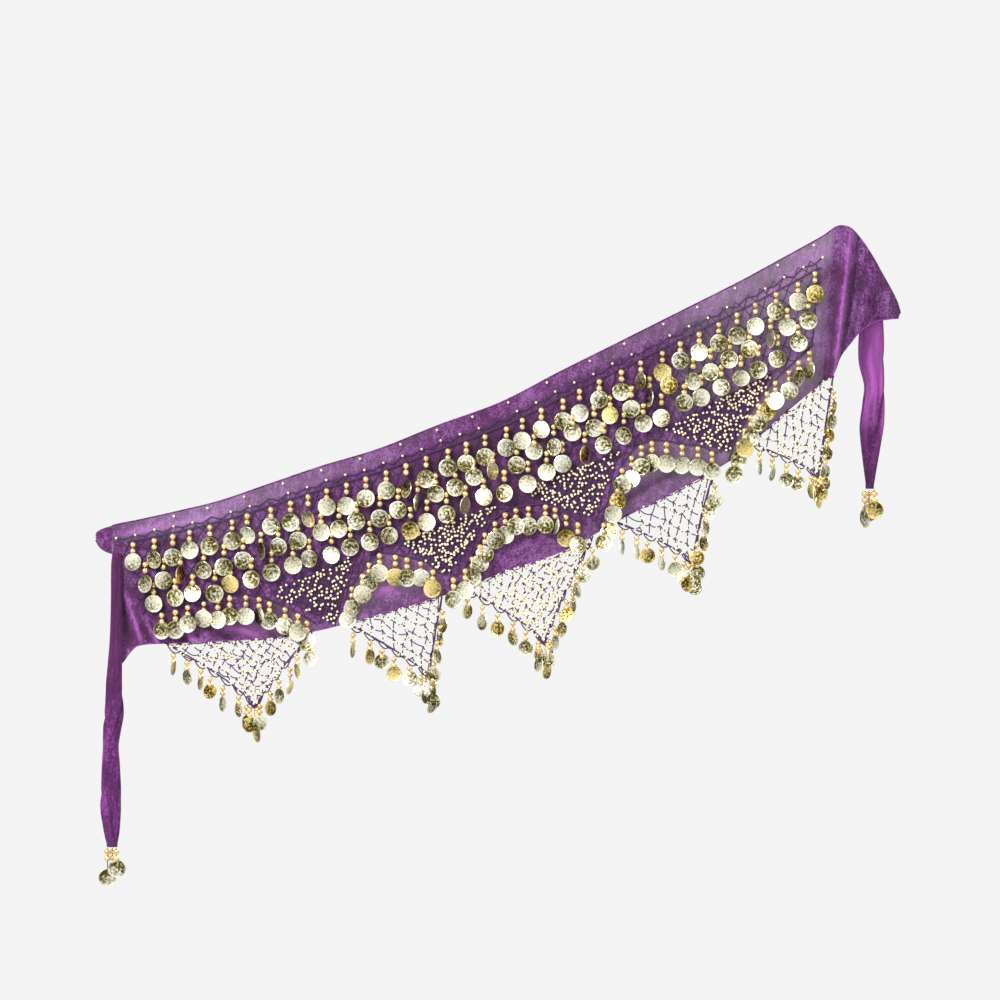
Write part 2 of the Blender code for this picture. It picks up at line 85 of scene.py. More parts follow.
BAND_SECTIONS = np.array([
    # top_x, top_z, hem_x, hem_z, back
    (8, 12.9, 9, -127, 1.0),
    (16, 14.9, 18, -121, 0.6),
    (25, 16.6, 26, -110.5, 0.2),
    (36, 18.8, 37, -103.6, 0.0),
    (74.5, 27.4, 74.5, -101.9, 0.0),
    (114, 37.2, 114, -100, 0.0),
    (163, 53.9, 163, -96.8, 0.0),
    (212, 70.6, 212, -89, 0.0),
    (270, 88.2, 270, -73.5, 0.0),
    (329, 111.7, 330, -56, 0.0),
    (388, 133.3, 389, -33, 0.0),
    (447, 163.7, 449, -12, 0.0),
    (506, 193.1, 506, 19.5, 0.0),
    (564.5, 222.5, 563, 48.5, 0.0),
    (623, 251.9, 620, 81.5, 0.0),
    (662.5, 273.4, 657, 115, 0.0),
    (701.7, 295, 694, 146, 0.0),
    (710, 300.5, 700, 150.5, 0.5),
    (719, 306.3, 707, 156.5, 3.6),
    (729, 305.6, 714.5, 161.5, -2.6),
    (739, 297.5, 722, 179, 4.0),
    (751, 281, 732.5, 193, 9.0),
    (762, 262.5, 744, 206, 15.0),
    (771, 247, 758, 213.5, 22.0),
    (778, 234, 770, 216, 29.0),
    (782, 222, 780, 217, 37.0),
    (778, 226, 776, 217, 44.0),
])
FRONT_SECTIONS = 18        # sections up to the upper corner, where x still grows steadily
RELIEF_END = 712.0         # the front's folds are read up to here, where the pleats take over

ROLL_SECTIONS = np.array([
    # x, top_z, middle_z, low_z, back
    (1, 10.8, 0.0, -12.6, 0.6),
    (-5, 8.0, 1.0, -8.5, 3.5),
    (-8.3, 5.0, 1.5, -3.5, 8.5),
    (-6, 6.0, 1.0, -5.0, 13.5),
    (0, 7.5, 0.5, -7.5, 16.5),
])
ROLL_SHARE = 0.2
ROLL_WIDTH = 26.0          # of the cloth, measured across the roll

FOLDS = [
    # from_x, from_z, to_x, to_z, half_width, height
    (26, -40, 38, -99, 8, -4.5),
    (40, -52, 62, -99, 9, 3.5),
    (66, -70, 112, -96, 10, -4.0),
    (92, -74, 170, -92, 10, 3.0),
    (440, 10, 520, 40, 14, -2.0),
]
# Finer creases that only the cloth here has.
CREASES = [
    (20, -52, 37, -102, 3.0, -3.4),
    (24, -48, 46, -100, 2.6, 3.2),
    (28, -58, 54, -104, 3.0, -3.2),
    (17, -66, 27, -104, 3.5, 3.4),
    (46, -56, 80, -100, 4.5, 3.6),
    (54, -72, 92, -102, 3.6, -3.2),
    (86, -78, 126, -101, 4.2, 3.2),
    (96, -74, 150, -94, 3.8, -2.6),
    (108, -84, 200, -90, 5.0, -1.8),
    (18, 4, 120, 22, 4.0, -1.2),
    (16, -8, 90, -4, 5.0, 1.1),
    (40, -10, 210, 40, 6.0, 0.8),
    (16, -24, 70, -46, 5.0, -1.5),
    (246, -58, 318, -36, 6.0, -1.6),
    (300, 60, 420, 108, 8.0, 1.0),
    (500, 150, 640, 226, 7.0, 0.9),
    (520, 60, 575, 82, 6.0, -1.4),
    (505, 36, 560, 66, 4.0, 1.2),
    (620, 216, 706, 276, 7.0, -1.2),
    (640, 196, 712, 262, 5.0, 1.0),
    (690, 168, 706, 250, 4.0, -1.0),
]
# A fine ripple over the whole cloth: a wave that sways as it goes down, and swells and fades.
RIPPLE_HEIGHT = 0.8
RIPPLE_LENGTH = 9.0
RIPPLE_SWAY = 1.7
SWAY_LENGTH = 31.0
SWELL_LENGTH = 47.0
SWELL_PHASE = 0.8
# Lengthways pleats of the turned right end.
PLEAT_ENDS = 0.55          # share of a pleat's height that is left at the top edge and the hem
PLEATS = [
    # section, half_width in sections, height
    (16.4, 0.4, -0.8),
    (17.6, 0.3, -0.8),
    (18.55, 0.38, 3.4),
    (19.4, 0.27, -3.6),
    (20.1, 0.22, 2.6),
    (20.6, 0.22, -1.0),
    (21.0, 0.25, 1.2),
    (21.5, 0.35, -1.3),
    (22.3, 0.4, 1.2),
    (23.4, 0.35, -1.0),
]

COIN_ROWS = [
    # name, from_x, to_x, below_left, below_right, drops
    ("coin_row_top", 27.5, 697.0, 19.5, 29.5, 36),
    ("coin_row_middle", 38.0, 688.4, 41.0, 50.0, 35),
    ("coin_row_lower", 48.5, 679.8, 63.5, 71.5, 34),
]
SCALLOPS = [
    ("scallop_1", [(50, -73), (69, -69), (89, -62), (107, -58), (123, -55), (137, -54), (152, -56),
                   (166, -61), (179, -67), (193, -74), (207, -83)]),
    ("scallop_2", [(236, -66), (243, -46), (254, -28), (268, -13), (281, -14), (297, -17), (315, -22),
                   (329, -34)]),
    ("scallop_3", [(337, -41), (352, -30), (365, -8), (378, 16), (396, 30), (417, 33), (435, 35),
                   (449, 30), (460, 21), (473, 14)]),
    ("scallop_4", [(484, 10), (496, 44), (510, 76), (522, 92), (536, 97), (551, 96), (567, 93), (585, 91),
                   (601, 84)]),
    ("scallop_5", [(612, 76), (620, 100), (632, 122), (648, 145), (663, 161), (679, 176), (695, 190)]),
]
SCALLOP_PITCH = 14.0
NETS = [
    # left_x, right_x, point_x, point_z, cells, left_bow, right_bow
    (62, 203, 148, -161, 12, 7, 2),
    (240, 330, 318, -131, 8, 4, 1),
    (352, 478, 431, -98, 13, 7, 2),
    (503, 597, 576, -19, 8, 5, 2),
    (636, 713, 699, 66, 9, 2, 0),
]
NET_PITCH = 15.0
NET_BEADED = (0.66, 0.66, 0.85, 0.66, 0.85)     # share of each net's threads that carry seeds
LOOP_DEPTH = 4.5
LOOP_LENGTH = 13.0

# Beaded crochet grounds on the cloth: left, right and low corner, and loops along the top.
GROUNDS = [
    ((163, -52), (243, -18), (226, -82), 13),
    ((288, -2), (384, 33), (336, -34), 15),
    ((408, 48), (506, 86), (477, 22), 15),
    ((550, 108), (654, 162), (612, 86), 16),
]

TIE_LEFT = np.array([
    # z, left_x, right_x, half_depth
    (-14, 8, 16.5, 2.0),
    (-30, 7, 17.4, 2.2),
    (-60, 6.9, 17.6, 2.6),
    (-99, 5.9, 17.6, 3.2),
    (-122, 4, 17.6, 3.6),
    (-140, 2, 17.6, 3.8),
    (-158, 1, 18.5, 3.6),
    (-173, 0, 19.1, 3.4),
    (-190, -0.5, 16, 4.0),
    (-204, -1, 14.2, 4.2),
    (-222, -2, 15.7, 4.2),
    (-246, -2.9, 16.7, 4.0),
    (-266, -2.9, 16.2, 3.8),
    (-286, 0, 15, 3.4),
    (-302, 3.5, 12.5, 2.8),
])
TIE_RIGHT = np.array([
    (240, 747, 761, 2.0),
    (222, 743, 764, 2.6),
    (200, 741, 765.4, 3.2),
    (175, 741, 766, 4.2),
    (151, 746.5, 766.4, 4.8),
    (135, 745, 766.4, 5.0),
    (112, 742, 766, 5.0),
    (97, 742.5, 763.4, 4.8),
    (75, 745, 759.5, 4.2),
    (58, 747.3, 756.5, 3.2),
    (49, 748.3, 755, 2.6),
])
TIE_MOUTH = 70.0           # degrees that the gathered cloth stays open
TIE_RIPPLES = [
    # gathers round the tie, winding, phase, depth
    (4, 4, 0.0, 0.5),
    (7, -5, 1.1, 0.4),
    (12, 7, 2.0, 0.22),
]
TIE_FOLDS = [
    # turn, slant, depth
    (0.4, 1.0, 1.0),
    (2.6, 1.7, 0.8),
    (4.3, -0.8, 0.7),
]
TIES = [
    # node, sections, twist, phase of the gathers, how the painted shade changes going down: the left tie
    # darker towards its top, the right lighter towards its top
    ("tie_left", TIE_LEFT, 5.0, 0.4, lambda shade, z: shade + 0.08 + 0.6 * rise(z, -215, 110)),
    ("tie_right", TIE_RIGHT, 2.2, 2.6, lambda shade, z: 1.4 * shade + 0.02 - 0.52 * rise(z, 65, 100)),
]
WRAP_TURNS = 4
WRAP_HEIGHT = 4.0
WRAP_RADIUS = 0.55
HEM_RADIUS = 0.7
TASSEL_DROPS = [
    # across, depth, length
    (-4.6, 3.0, 29.0),
    (0.0, 8.4, 22.0),
    (4.6, -2.6, 20.0),
]

# How the finer pieces are drawn.
BAND_GRID = (430, 92)
ROLL_GRID = (60, 30)
TIE_GRID = (120, 190)
CHAIN_OUT = 1.5            # middle of the cloth to the chains under the rows and scallops
ZIGZAG_OUT = 1.0           # the same for the upper chain
LACE_OUT = 0.9             # and for the thin loops and the beaded triangles
ZIGZAG_POINTS = 75
ZIGZAG_ENDS = (12, 704)
ZIGZAG_BELOW = (15.0, 22.0)
ZIGZAG_SWING = 1.8
ZIGZAG_UNEVEN = 0.72
LACE_COLUMNS = 56
LACE_LINES = 12
LACE_FROM = 16
LACE_WIDTH = 688
LACE_END = 702
LACE_BELOW = 17
LACE_JITTER = 1.3
LACE_SLACK = (0.2, 1.5)
LACE_THREAD = 0.38
PEAKS_BEADED = 0.86        # share of the upper chain's peaks that carry a seed
EDGE_SEED_PITCH = 37.0
EDGE_SEED_BELOW = 4.0
NET_JITTER = 1.7           # how far a knot sits from its place
NET_SLACK = (0.8, 2.8)
NET_SEED_JITTER = 0.9
KNOT_RADIUS = 0.95
GROUND_SLACK = (0.2, 1.0)
GROUND_BEADED = 0.62
GROUND_SEED_JITTER = 1.3
COIN_WALL = 0.9
DROP_THREAD = 0.42

# How the drops hang in front of the cloth.
BEADS_BELOW = 5.5          # from a cord down to the middle of a drop's beads
BEAD_ROOM = 0.6
COIN_REACH = 8.0           # the cloth behind a coin is looked at this far up and down
COIN_IN = 2.2              # every second coin hangs this much closer
COIN_SWEEP = 9.2           # how far back a coin reaches when it hangs edge on
COIN_ROOM = 1.2
EDGE_ON_TURN = (48, 74)    # degrees
DROP_GROUPS = {
    # group: spread of the coins' turns in degrees, shares edge on, painted brightly lit and gilded, scale
    "rows": (14, 0.08, 0.26, 0.08, 1.0),
    "scallops": (14, 0.16, 0.26, 0.08, 1.0),
    "nets": (24, 0.55, 0.1, 0.4, 0.86),
    "tassels": (12, 0.3, 0.1, 0.3, 1.0),
}

# Share of the light that the cloth stops: the roll, the plain band, and what each place adds to it.
ROLL_COVER = 0.93
COVER = {"plain": 0.88, "middle": 0.08, "left": 0.08, "lower": 0.12, "turned": 0.12, "crochet": 0.04,
         "thin": -0.06, "shaded": 0.12}
# Painted shade at each place, which darkens the dye; below 0 it is painted light.
PAINTED_SHADE = {"coins": 0.08, "middle_coins": 0.35, "grounds": 0.75, "folds": 0.55, "edge": 0.45, "pale": -0.3,
         "beside": 0.35, "middle": 0.3, "turned": 0.18, "hem": -0.45, "creases": 0.28, "pleats": 0.22}

# Finishes, as values of the shader's own sockets.
CHIFFON_FINISH = {"Roughness": 0.62, "Sheen Weight": 0.25, "Sheen Roughness": 0.4,
                  "Sheen Tint": (0.80, 0.32, 0.90, 1.0), "Specular IOR Level": 0.2}
YARN_FINISH = {"Roughness": 0.8}
COIN_FINISH = {"Metallic": 1.0, "Roughness": 0.3}
GOLD_FINISH = {"Metallic": 0.85, "Roughness": 0.3, "Coat Weight": 0.4}
SEED_FINISH = {"Metallic": 0.25, "Roughness": 0.25, "Coat Weight": 0.4}
FLOOR_FINISH = {"Roughness": 0.9, "Base Color": (0.47, 0.47, 0.47, 1.0)}
DYE_STOPS = (0.3, 0.5, 0.72)
STREAK_STRETCH = {True: (0.55, 0.3, 1.0), False: (0.6, 0.1, 1.0)}     # sheer cloth, gathered cloth
GILT = (0.95, 0.74, 0.28)
# Shares of a coin's radius.
COIN_FIELD = 0.72
COIN_DOTS = 0.81
COIN_DOTS_HALF = 0.09
COIN_RIM = 0.9

LAMPS = [
    # name, place, energy, size
    ("key", (-1.3, -2.0, 1.6), 125.0, 0.9),
    ("fill", (1.9, -1.8, 0.5), 12.0, 1.4),
    ("back", (1.6, 2.2, 1.4), 70.0, 1.2),
]
LAMP_TARGET = (0.39, 0.0, 0.03)
WORLD_STRENGTH = 0.9
FLOOR_MIDDLE = (390.0, 0.0, -640.0)
FLOOR_RADIUS = 3000.0
FLOOR_SIDES = 96
CAMERA_PLACE = (0.388, -8.0, 0.038)
HALF_SENSOR = 18.0
HALF_VIEW = 0.49           # half of the picture's width, in metres at the cloth


# Curves and the cloth's surface

def curve_at(rows, t):
    """Catmull-Rom through the rows: a cubic between two rows, its slopes set by their neighbours."""
    rows = np.asarray(rows, float)
    ends = np.vstack([2 * rows[0] - rows[1], rows, 2 * rows[-1] - rows[-2]])
    i = np.clip(np.asarray(t).astype(int), 0, len(rows) - 2)
    f = (t - i)[:, None]
    a, b, c, d = ends[i], ends[i + 1], ends[i + 2], ends[i + 3]
    return 0.5 * (2 * b + (c - a) * f + (2 * a - 5 * b + 4 * c - d) * f ** 2
                  + (3 * b - a - 3 * c + d) * f ** 3)


def even_steps(rows, count, columns):
    """Row parameters that are evenly spaced along the curve, measured over the given columns."""
    dense = np.linspace(0, len(rows) - 1, 4000)
    steps = np.diff(curve_at(rows, dense)[:, columns], axis=0)
    total = np.concatenate([[0], np.cumsum(np.linalg.norm(steps, axis=1))])
    return np.interp(np.linspace(0, total[-1], count), total, dense)


def rise(value, start, length):
    """0 up to the start, 1 from a length further on, and 3 t squared - 2 t cubed between them."""
    t = np.clip((value - start) / length, 0, 1)
    return t * t * (3 - 2 * t)


def bell(value, centre, half):
    """1 at the centre and exp(-1) at the half width: exp(-((value - centre) / half) squared)."""
    return np.exp(-((value - centre) / half) ** 2)


def top_z(x):
    """Height of the band's top edge over x."""
    front = BAND_SECTIONS[:FRONT_SECTIONS]
    return np.interp(x, front[:, 0], front[:, 1])


def fold_sum(x, z, table):
    """Each fold is a bell across its line, faded at both ends; their heights add up."""
    total = np.zeros(np.broadcast(x, z).shape)
    for from_x, from_z, to_x, to_z, half_width, height in table:
        run_x, run_z = to_x - from_x, to_z - from_z
        length = math.hypot(run_x, run_z)
        share = ((x - from_x) * run_x + (z - from_z) * run_z) / length ** 2
        aside = ((x - from_x) * run_z - (z - from_z) * run_x) / length
        fade = rise(share * FOLD_FADE, -FOLD_START, 1) * rise((1 - share) * FOLD_FADE, -FOLD_START, 1)
        total += height * fade * bell(aside, 0, half_width)
    return total


def cloth_relief(x, z):
    """A slow wave along x and a fine ripple, both growing downwards, the folds and the finer creases."""
    down = np.clip((top_z(x) - z) / BAND_DEPTH, 0, WAVE_MOST)
    wave = WAVE_HEIGHT * down * np.sin(2 * np.pi * x / WAVE_LENGTH + WAVE_PHASE)
    sway = RIPPLE_SWAY * np.sin(z / SWAY_LENGTH)
    swell = np.sin(x / SWELL_LENGTH + SWELL_PHASE)
    ripple = RIPPLE_HEIGHT * down * np.sin(x / RIPPLE_LENGTH + sway) * swell
    return wave + ripple + fold_sum(x, z, FOLDS) + fold_sum(x, z, CREASES)


DENSE_T = np.linspace(0, FRONT_SECTIONS + 1, 900)
DENSE_FRONT = curve_at(BAND_SECTIONS, DENSE_T)


def cloth_y(x, z):
    """Depth of the band's middle at (x, z), wherever x is left of the pleats."""
    x, z = np.asarray(x, float), np.asarray(z, float)
    top, hem = DENSE_FRONT[:, 0], DENSE_FRONT[:, 2]
    share = np.clip((top_z(x) - z) / BAND_DEPTH, 0, 1)
    upper_x = x + share * np.interp(x, hem, top - hem)
    return np.interp(upper_x, top, DENSE_FRONT[:, 4]) + cloth_relief(x, z)


def pleat_relief(t, share):
    """Bells across the section parameter, highest halfway down the cloth."""
    total = np.zeros(np.broadcast(t, share).shape)
    for place, half_width, height in PLEATS:
        total += height * bell(t, place, half_width)
    return total * (PLEAT_ENDS + (1 - PLEAT_ENDS) * np.sin(np.pi * np.clip(share, 0.05, 0.95)))


def lengths_of(path):
    """Distance along a line of points to each of them."""
    steps = np.diff(np.asarray(path, float), axis=0)
    return np.concatenate([[0.0], np.cumsum(np.linalg.norm(steps, axis=1))])


def at_lengths(path, places):
    """Points at the given distances along a line of points."""
    path, total = np.asarray(path, float), lengths_of(path)
    return np.stack([np.interp(places, total, path[:, k]) for k in range(path.shape[1])], axis=-1)


def hem_at(x):
    """(y, z) of the hem over x."""
    z = np.interp(x, DENSE_FRONT[:, 2], DENSE_FRONT[:, 3])
    return cloth_y(x, z), z


# Where the drops hang, worked out in the same order as in the solids

def row_paths():
    """Each row's cord: a line at a set depth under the top edge, bent between every second drop."""
    found = []
    for name, from_x, to_x, below_left, below_right, count in COIN_ROWS:
        pitch = (to_x - from_x) / (count - 1)
        bends = [from_x + pitch * (i - 0.5) for i in range(2, count, 2)]
        xs = np.array([from_x - ROW_END] + bends + [to_x + ROW_END])
        path = np.stack([xs, top_z(xs) - np.interp(xs, (from_x, to_x), (below_left, below_right))], axis=1)
        places = np.interp(np.linspace(from_x, to_x, count), path[:, 0], lengths_of(path))
        found.append((name, path, places))
    return found


def spread(path, pitch):
    """Even distances along a line, half a pitch in from both ends."""
    length = lengths_of(path)[-1]
    count = round(length / pitch)
    return (np.arange(count) + 0.5) * length / count


def net_knots(left_x, right_x, point_x, point_z, cells, left_bow, right_bow):
    """A net's knots, a line for each level: a fan of rows that narrows to the point."""
    xs = np.linspace(left_x, right_x, cells + 1)
    top = np.stack([xs, hem_at(xs)[1] - SEAM_GAP], axis=1)
    levels = []
    for level in range(cells + 1):
        down = level / cells
        share = np.linspace(0, 1, cells - level + 1) if level < cells else np.array([0.5])
        start = at_lengths(top, share * lengths_of(top)[-1])
        bow = 4 * down * (1 - down) * (left_bow * (1 - share) - right_bow * share)
        x = start[:, 0] + (point_x - start[:, 0]) * down + bow
        z = start[:, 1] + (point_z - start[:, 1]) * down
        levels.append(np.stack([x, hem_at(x)[0], z], axis=1))
    return levels


def net_border(levels):
    """The line of the cord under a net's two lower sides."""
    corners = np.array([line[0] for line in levels[:-1]] + [levels[-1][0]]
                       + [line[-1] for line in reversed(levels[:-1])])
    flat = corners[:, [0, 2]]
    steps = np.diff(flat, axis=0)
    steps /= np.linalg.norm(steps, axis=1)[:, None]
    run = np.vstack([steps[:1], steps]) + np.vstack([steps, steps[-1:]])
    run /= np.linalg.norm(run, axis=1)[:, None]
    stretch = np.clip((run * np.vstack([steps[:1], steps])).sum(axis=1), NET_MITRE, None)
    away = (SEAM_GAP + CORD_HALF) / stretch
    return flat + np.stack([run[:, 1], -run[:, 0]], axis=1) * away[:, None]


def hang_drops(path, places, chance, length, jitter):
    """Root x and z, the x it hangs at and the length of each drop along a cord."""
    x, z = at_lengths(path, places).T
    step = at_lengths(path, places + 1) - at_lengths(path, places - 1)
    hang_x = x + LEAN * step[:, 1] / np.linalg.norm(step, axis=1) * 0.5
    hang_x = hang_x + chance.uniform(-jitter, jitter, len(x))
    return np.stack([x, z, hang_x, length + chance.normal(0, jitter * 0.8, len(x))], axis=1)


def lay_out():
    """Cords and drops of the rows, the scalloped border and the nets."""
    chance = np.random.default_rng(SEED)
    rows = [(name, path, hang_drops(path, places, chance, DROP_LENGTH, ROW_JITTER))
            for name, path, places in row_paths()]
    scallops = []
    for name, path in SCALLOPS:
        path = np.array(path, float)
        drops = hang_drops(path, spread(path, SCALLOP_PITCH), chance, DROP_LENGTH - 1, EDGE_JITTER)
        scallops.append((name, path, drops))
    nets = []
    for number, shape in enumerate(NETS, start=1):
        levels = net_knots(*shape)
        border = net_border(levels)
        point = len(border) // 2
        sides = [spread(border[:point + 1], NET_PITCH),
                 lengths_of(border)[point] + spread(border[point:], NET_PITCH)]
        near = lengths_of(border)[point] + np.array(POINT_PLACES)
        drops = hang_drops(border, np.concatenate(sides + [near]), chance, DROP_LENGTH - 1, EDGE_JITTER)
        drops[-3:, 3] += POINT_LONGER
        drops[:, 1] -= LOOP_DEPTH
        drops[:, 3] -= LOOP_DEPTH
        nets.append((f"net_{number}", levels, border, drops))
    return rows, scallops, nets


LAYOUT = lay_out()


# Mesh helpers

def new_mesh(name, made, material, uv=None, smooth=True, **values):
    """An object of points in millimetres and one or more arrays of faces, with a value for each point."""
    points, faces = made
    mesh = bpy.data.meshes.new(name)
    sets = faces if isinstance(faces, list) else [faces]
    corners = np.concatenate([f.ravel() for f in sets]).astype(np.int32)
    sizes = np.concatenate([np.full(len(f), f.shape[1]) for f in sets]).astype(np.int32)
    starts = np.concatenate([[0], np.cumsum(sizes)[:-1]]).astype(np.int32)
    mesh.vertices.add(len(points))
    mesh.vertices.foreach_set("co", (np.asarray(points, float) * MM).ravel().astype(np.float32))
    mesh.loops.add(len(corners))
    mesh.loops.foreach_set("vertex_index", corners)
    mesh.polygons.add(len(sizes))
    mesh.polygons.foreach_set("loop_start", starts)
    mesh.polygons.foreach_set("loop_total", sizes)
    mesh.polygons.foreach_set("use_smooth", np.full(len(sizes), smooth))
    mesh.update(calc_edges=True)
    mesh.validate()
    if uv is not None:
        layer = mesh.uv_layers.new(name="UVMap")
        layer.data.foreach_set("uv", np.asarray(uv, np.float32).reshape(-1, 2)[corners].ravel())
    for key, value in values.items():
        layer = mesh.attributes.new(key, "FLOAT", "POINT")
        layer.data.foreach_set("value", np.asarray(value, np.float32).ravel())
    mesh.materials.append(material)
    obj = bpy.data.objects.new(name, mesh)
    bpy.context.scene.collection.objects.link(obj)
    return obj


def grid_faces(rows, columns, wrap=False):
    """Corners of the quads of a grid of points; wrap joins the last column to the first."""
    i = np.arange(rows - 1)[:, None]
    j = np.arange(columns if wrap else columns - 1)[None, :]
    k = (j + 1) % columns
    return np.stack([i * columns + j, (i + 1) * columns + j, (i + 1) * columns + k, i * columns + k],
                    axis=-1).reshape(-1, 4)


def tubes(paths, radius, sides=5):
    """A round tube along each path: circles in the plane across the path, capped at both ends.

    paths is an array (tube, point, 3); the circle's first axis is the path's run crossed with Y.
    """
    paths = np.asarray(paths, float)
    count, length, _ = paths.shape
    run = np.gradient(paths, axis=1)
    run /= np.linalg.norm(run, axis=2, keepdims=True) + 1e-9
    across = np.cross(run, np.array([0.0, 1.0, 0.0]))
    weak = np.linalg.norm(across, axis=2, keepdims=True) < 1e-3
    across = np.where(weak, np.array([1.0, 0.0, 0.0]), across)
    across /= np.linalg.norm(across, axis=2, keepdims=True)
    over = np.cross(across, run)
    angle = np.arange(sides) * 2 * np.pi / sides
    radius = np.broadcast_to(radius, (count, length))[..., None, None]
    ring = across[:, :, None] * np.cos(angle)[:, None] + over[:, :, None] * np.sin(angle)[:, None]
    points = (paths[:, :, None] + ring * radius).reshape(-1, 3)
    walls = grid_faces(length, sides, wrap=True)
    starts = np.arange(count)[:, None, None] * length * sides
    walls = (walls[None] + starts).reshape(-1, 4)
    cap = np.arange(sides)[None, :] + starts[:, :, 0]
    far = cap + (length - 1) * sides
    return points, [walls, cap, far[:, ::-1]]


def turned(radii, heights, sides):
    """Circles of a profile's radii at its heights: (r cos a, r sin a, height) round Z, ring after ring."""
    turn = np.arange(sides) * 2 * np.pi / sides
    rings = [np.outer(radii, np.cos(turn)), np.outer(radii, np.sin(turn)), np.outer(heights, np.ones(sides))]
    return np.stack(rings, axis=-1).reshape(-1, 3)


def ball(rings, segments):
    """A unit ball: a half circle turned round Z, with a fan of triangles at each pole."""
    polar = np.linspace(0, np.pi, rings + 1)[1:-1]
    points = np.vstack([[0, 0, 1], turned(np.sin(polar), np.cos(polar), segments), [0, 0, -1]])
    j = np.arange(segments)
    k = (j + 1) % segments
    last = len(points) - 1
    top = np.stack([np.zeros_like(j), 1 + j, 1 + k], axis=1)
    low = np.stack([np.full_like(j, last), last - segments + k, last - segments + j], axis=1)
    return points, [grid_faces(rings - 1, segments, wrap=True) + 1, top, low]


def copies(template, faces, places, scale=1.0, turns=None):
    """The template's points at each place, turned and scaled first; faces are numbered on."""
    points = template[None] * np.asarray(scale, float).reshape(-1, 1, 1)
    points = np.broadcast_to(points, (len(places), len(template), 3))
    if turns is not None:
        points = np.einsum("nij,nkj->nki", turns, points)
    points = points + np.asarray(places, float)[:, None, :]
    steps = np.arange(len(places))[:, None, None] * len(template)
    return points.reshape(-1, 3), [(f[None] + steps).reshape(-1, f.shape[1]) for f in faces]


def joined(parts):
    """Several (points, faces) as one, with the faces numbered on."""
    points, faces, total = [], {}, 0
    for some, sets in parts:
        for f in sets:
            faces.setdefault(f.shape[1], []).append(f + total)
        points.append(some)
        total += len(some)
    return np.vstack(points), [np.vstack(f) for f in faces.values()]


def piece(name, made, finish, *nodes, **values):
    """A piece of one finish: it rides on the root and stands for the solids."""
    obj = new_mesh(name, made, material_of(finish), **values)
    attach(obj, "root")
    if nodes:
        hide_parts(*nodes)
    return obj


def cloth_piece(name, points, faces, finish, uv, node, **values):
    """A grid of points as a sheet of cloth, given its wall; also its area in square metres."""
    flat = points.reshape(-1, 3)
    cloth = piece(name, (flat, faces), finish, node, uv=uv, **values)
    wall = cloth.modifiers.new("cloth wall", "SOLIDIFY")
    wall.thickness = bpy.context.scene.scarf_cloth.wall
    wall.offset = 0.0
    return cloth, surface_area(flat, faces)


def small_balls(name, places, radii, finish):
    """A small ball at each place, all of one radius or each of its own."""
    piece(name, copies(*ball(5, 8), places, scale=radii), finish)


def surface_area(points, faces):
    """Area of quads as two triangles each, in square metres."""
    a, b, c, d = (points[faces[:, k]] for k in range(4))
    halves = np.cross(b - a, c - a), np.cross(c - a, d - a)
    return float(sum(np.linalg.norm(h, axis=1).sum() for h in halves) / 2 * MM * MM)


# Materials

def start_material(name, finish):
    """A node material, its shader's sockets set to the finish."""
    material = bpy.data.materials.new(name)
    material.use_nodes = True
    tree = material.node_tree
    shader = tree.nodes["Principled BSDF"]
    for socket, value in finish.items():
        shader.inputs[socket].default_value = value
    return material, tree, shader


def add_node(tree, kind, **values):
    """A node with sockets set by name: a value, or a socket of another node to link from."""
    made = tree.nodes.new(kind)
    for key, value in values.items():
        if key in made.bl_rna.properties:
            setattr(made, key, value)
            continue
        socket = made.inputs[int(key[1:])] if key[0] == "i" and key[1:].isdigit() else made.inputs[key]
        if isinstance(value, bpy.types.NodeSocket):
            tree.links.new(value, socket)
        else:
            socket.default_value = value
    return made


def maths(tree, operation, first, second=0.0, third=0.0):
    """One step of arithmetic on values or sockets."""
    made = add_node(tree, "ShaderNodeMath", operation=operation, i0=first, i1=second, i2=third)
    return made.outputs[0]


def weighted(tree, start, *terms):
    """The start plus each socket times its weight."""
    total = start
    for socket, weight in terms:
        total = maths(tree, "MULTIPLY_ADD", socket, weight, total)
    return total


def sine(tree, value, times):
    """Sine of a value times a number."""
    return maths(tree, "SINE", maths(tree, "MULTIPLY", value, times))


def attribute(tree, name):
    """The value that the piece's mesh holds under this name."""
    return add_node(tree, "ShaderNodeAttribute", attribute_name=name).outputs["Fac"]


def mixed(tree, factor, first, second, blend="MIX"):
    """The first colour socket blended into a second socket or colour by the factor."""
    made = add_node(tree, "ShaderNodeMix", data_type="RGBA", blend_type=blend, Factor=factor, i6=first)
    if isinstance(second, bpy.types.NodeSocket):
        tree.links.new(second, made.inputs[7])
    else:
        made.inputs[7].default_value = (*second, 1.0)
    return made.outputs[2]


def bump(tree, shader, height, strength, distance):
    """Lets a height bend the shader's normal."""
    made = add_node(tree, "ShaderNodeBump", Strength=strength, Distance=distance, Height=height)
    tree.links.new(made.outputs[0], shader.inputs["Normal"])


def scaled(colour, share):
    """A colour made darker or lighter."""
    return tuple(min(1.0, c * share) for c in colour)


def ramp(tree, factor, stops):
    """A colour ramp through (place, colour) stops."""
    made = add_node(tree, "ShaderNodeValToRGB", i0=factor)
    elements = made.color_ramp.elements
    while len(elements) < len(stops):
        elements.new(0.5)
    for element, (place, colour) in zip(elements, stops):
        element.position = place
        element.color = (*colour, 1.0)
    return made.outputs[0]


def coordinates(tree, kind):
    """Where the shaded point lies, on the object itself or on its own map."""
    return add_node(tree, "ShaderNodeTexCoord").outputs[kind]


def noise(tree, vector, scale, detail=2.0, roughness=0.5, fourth=None):
    """A noise's value; with a fourth coordinate it differs from piece to piece."""
    made = add_node(tree, "ShaderNodeTexNoise", Vector=vector, Scale=scale, Detail=detail,
                    Roughness=roughness)
    if fourth is not None:
        made.noise_dimensions = "4D"
        tree.links.new(fourth, made.inputs["W"])
    return made.outputs[0]


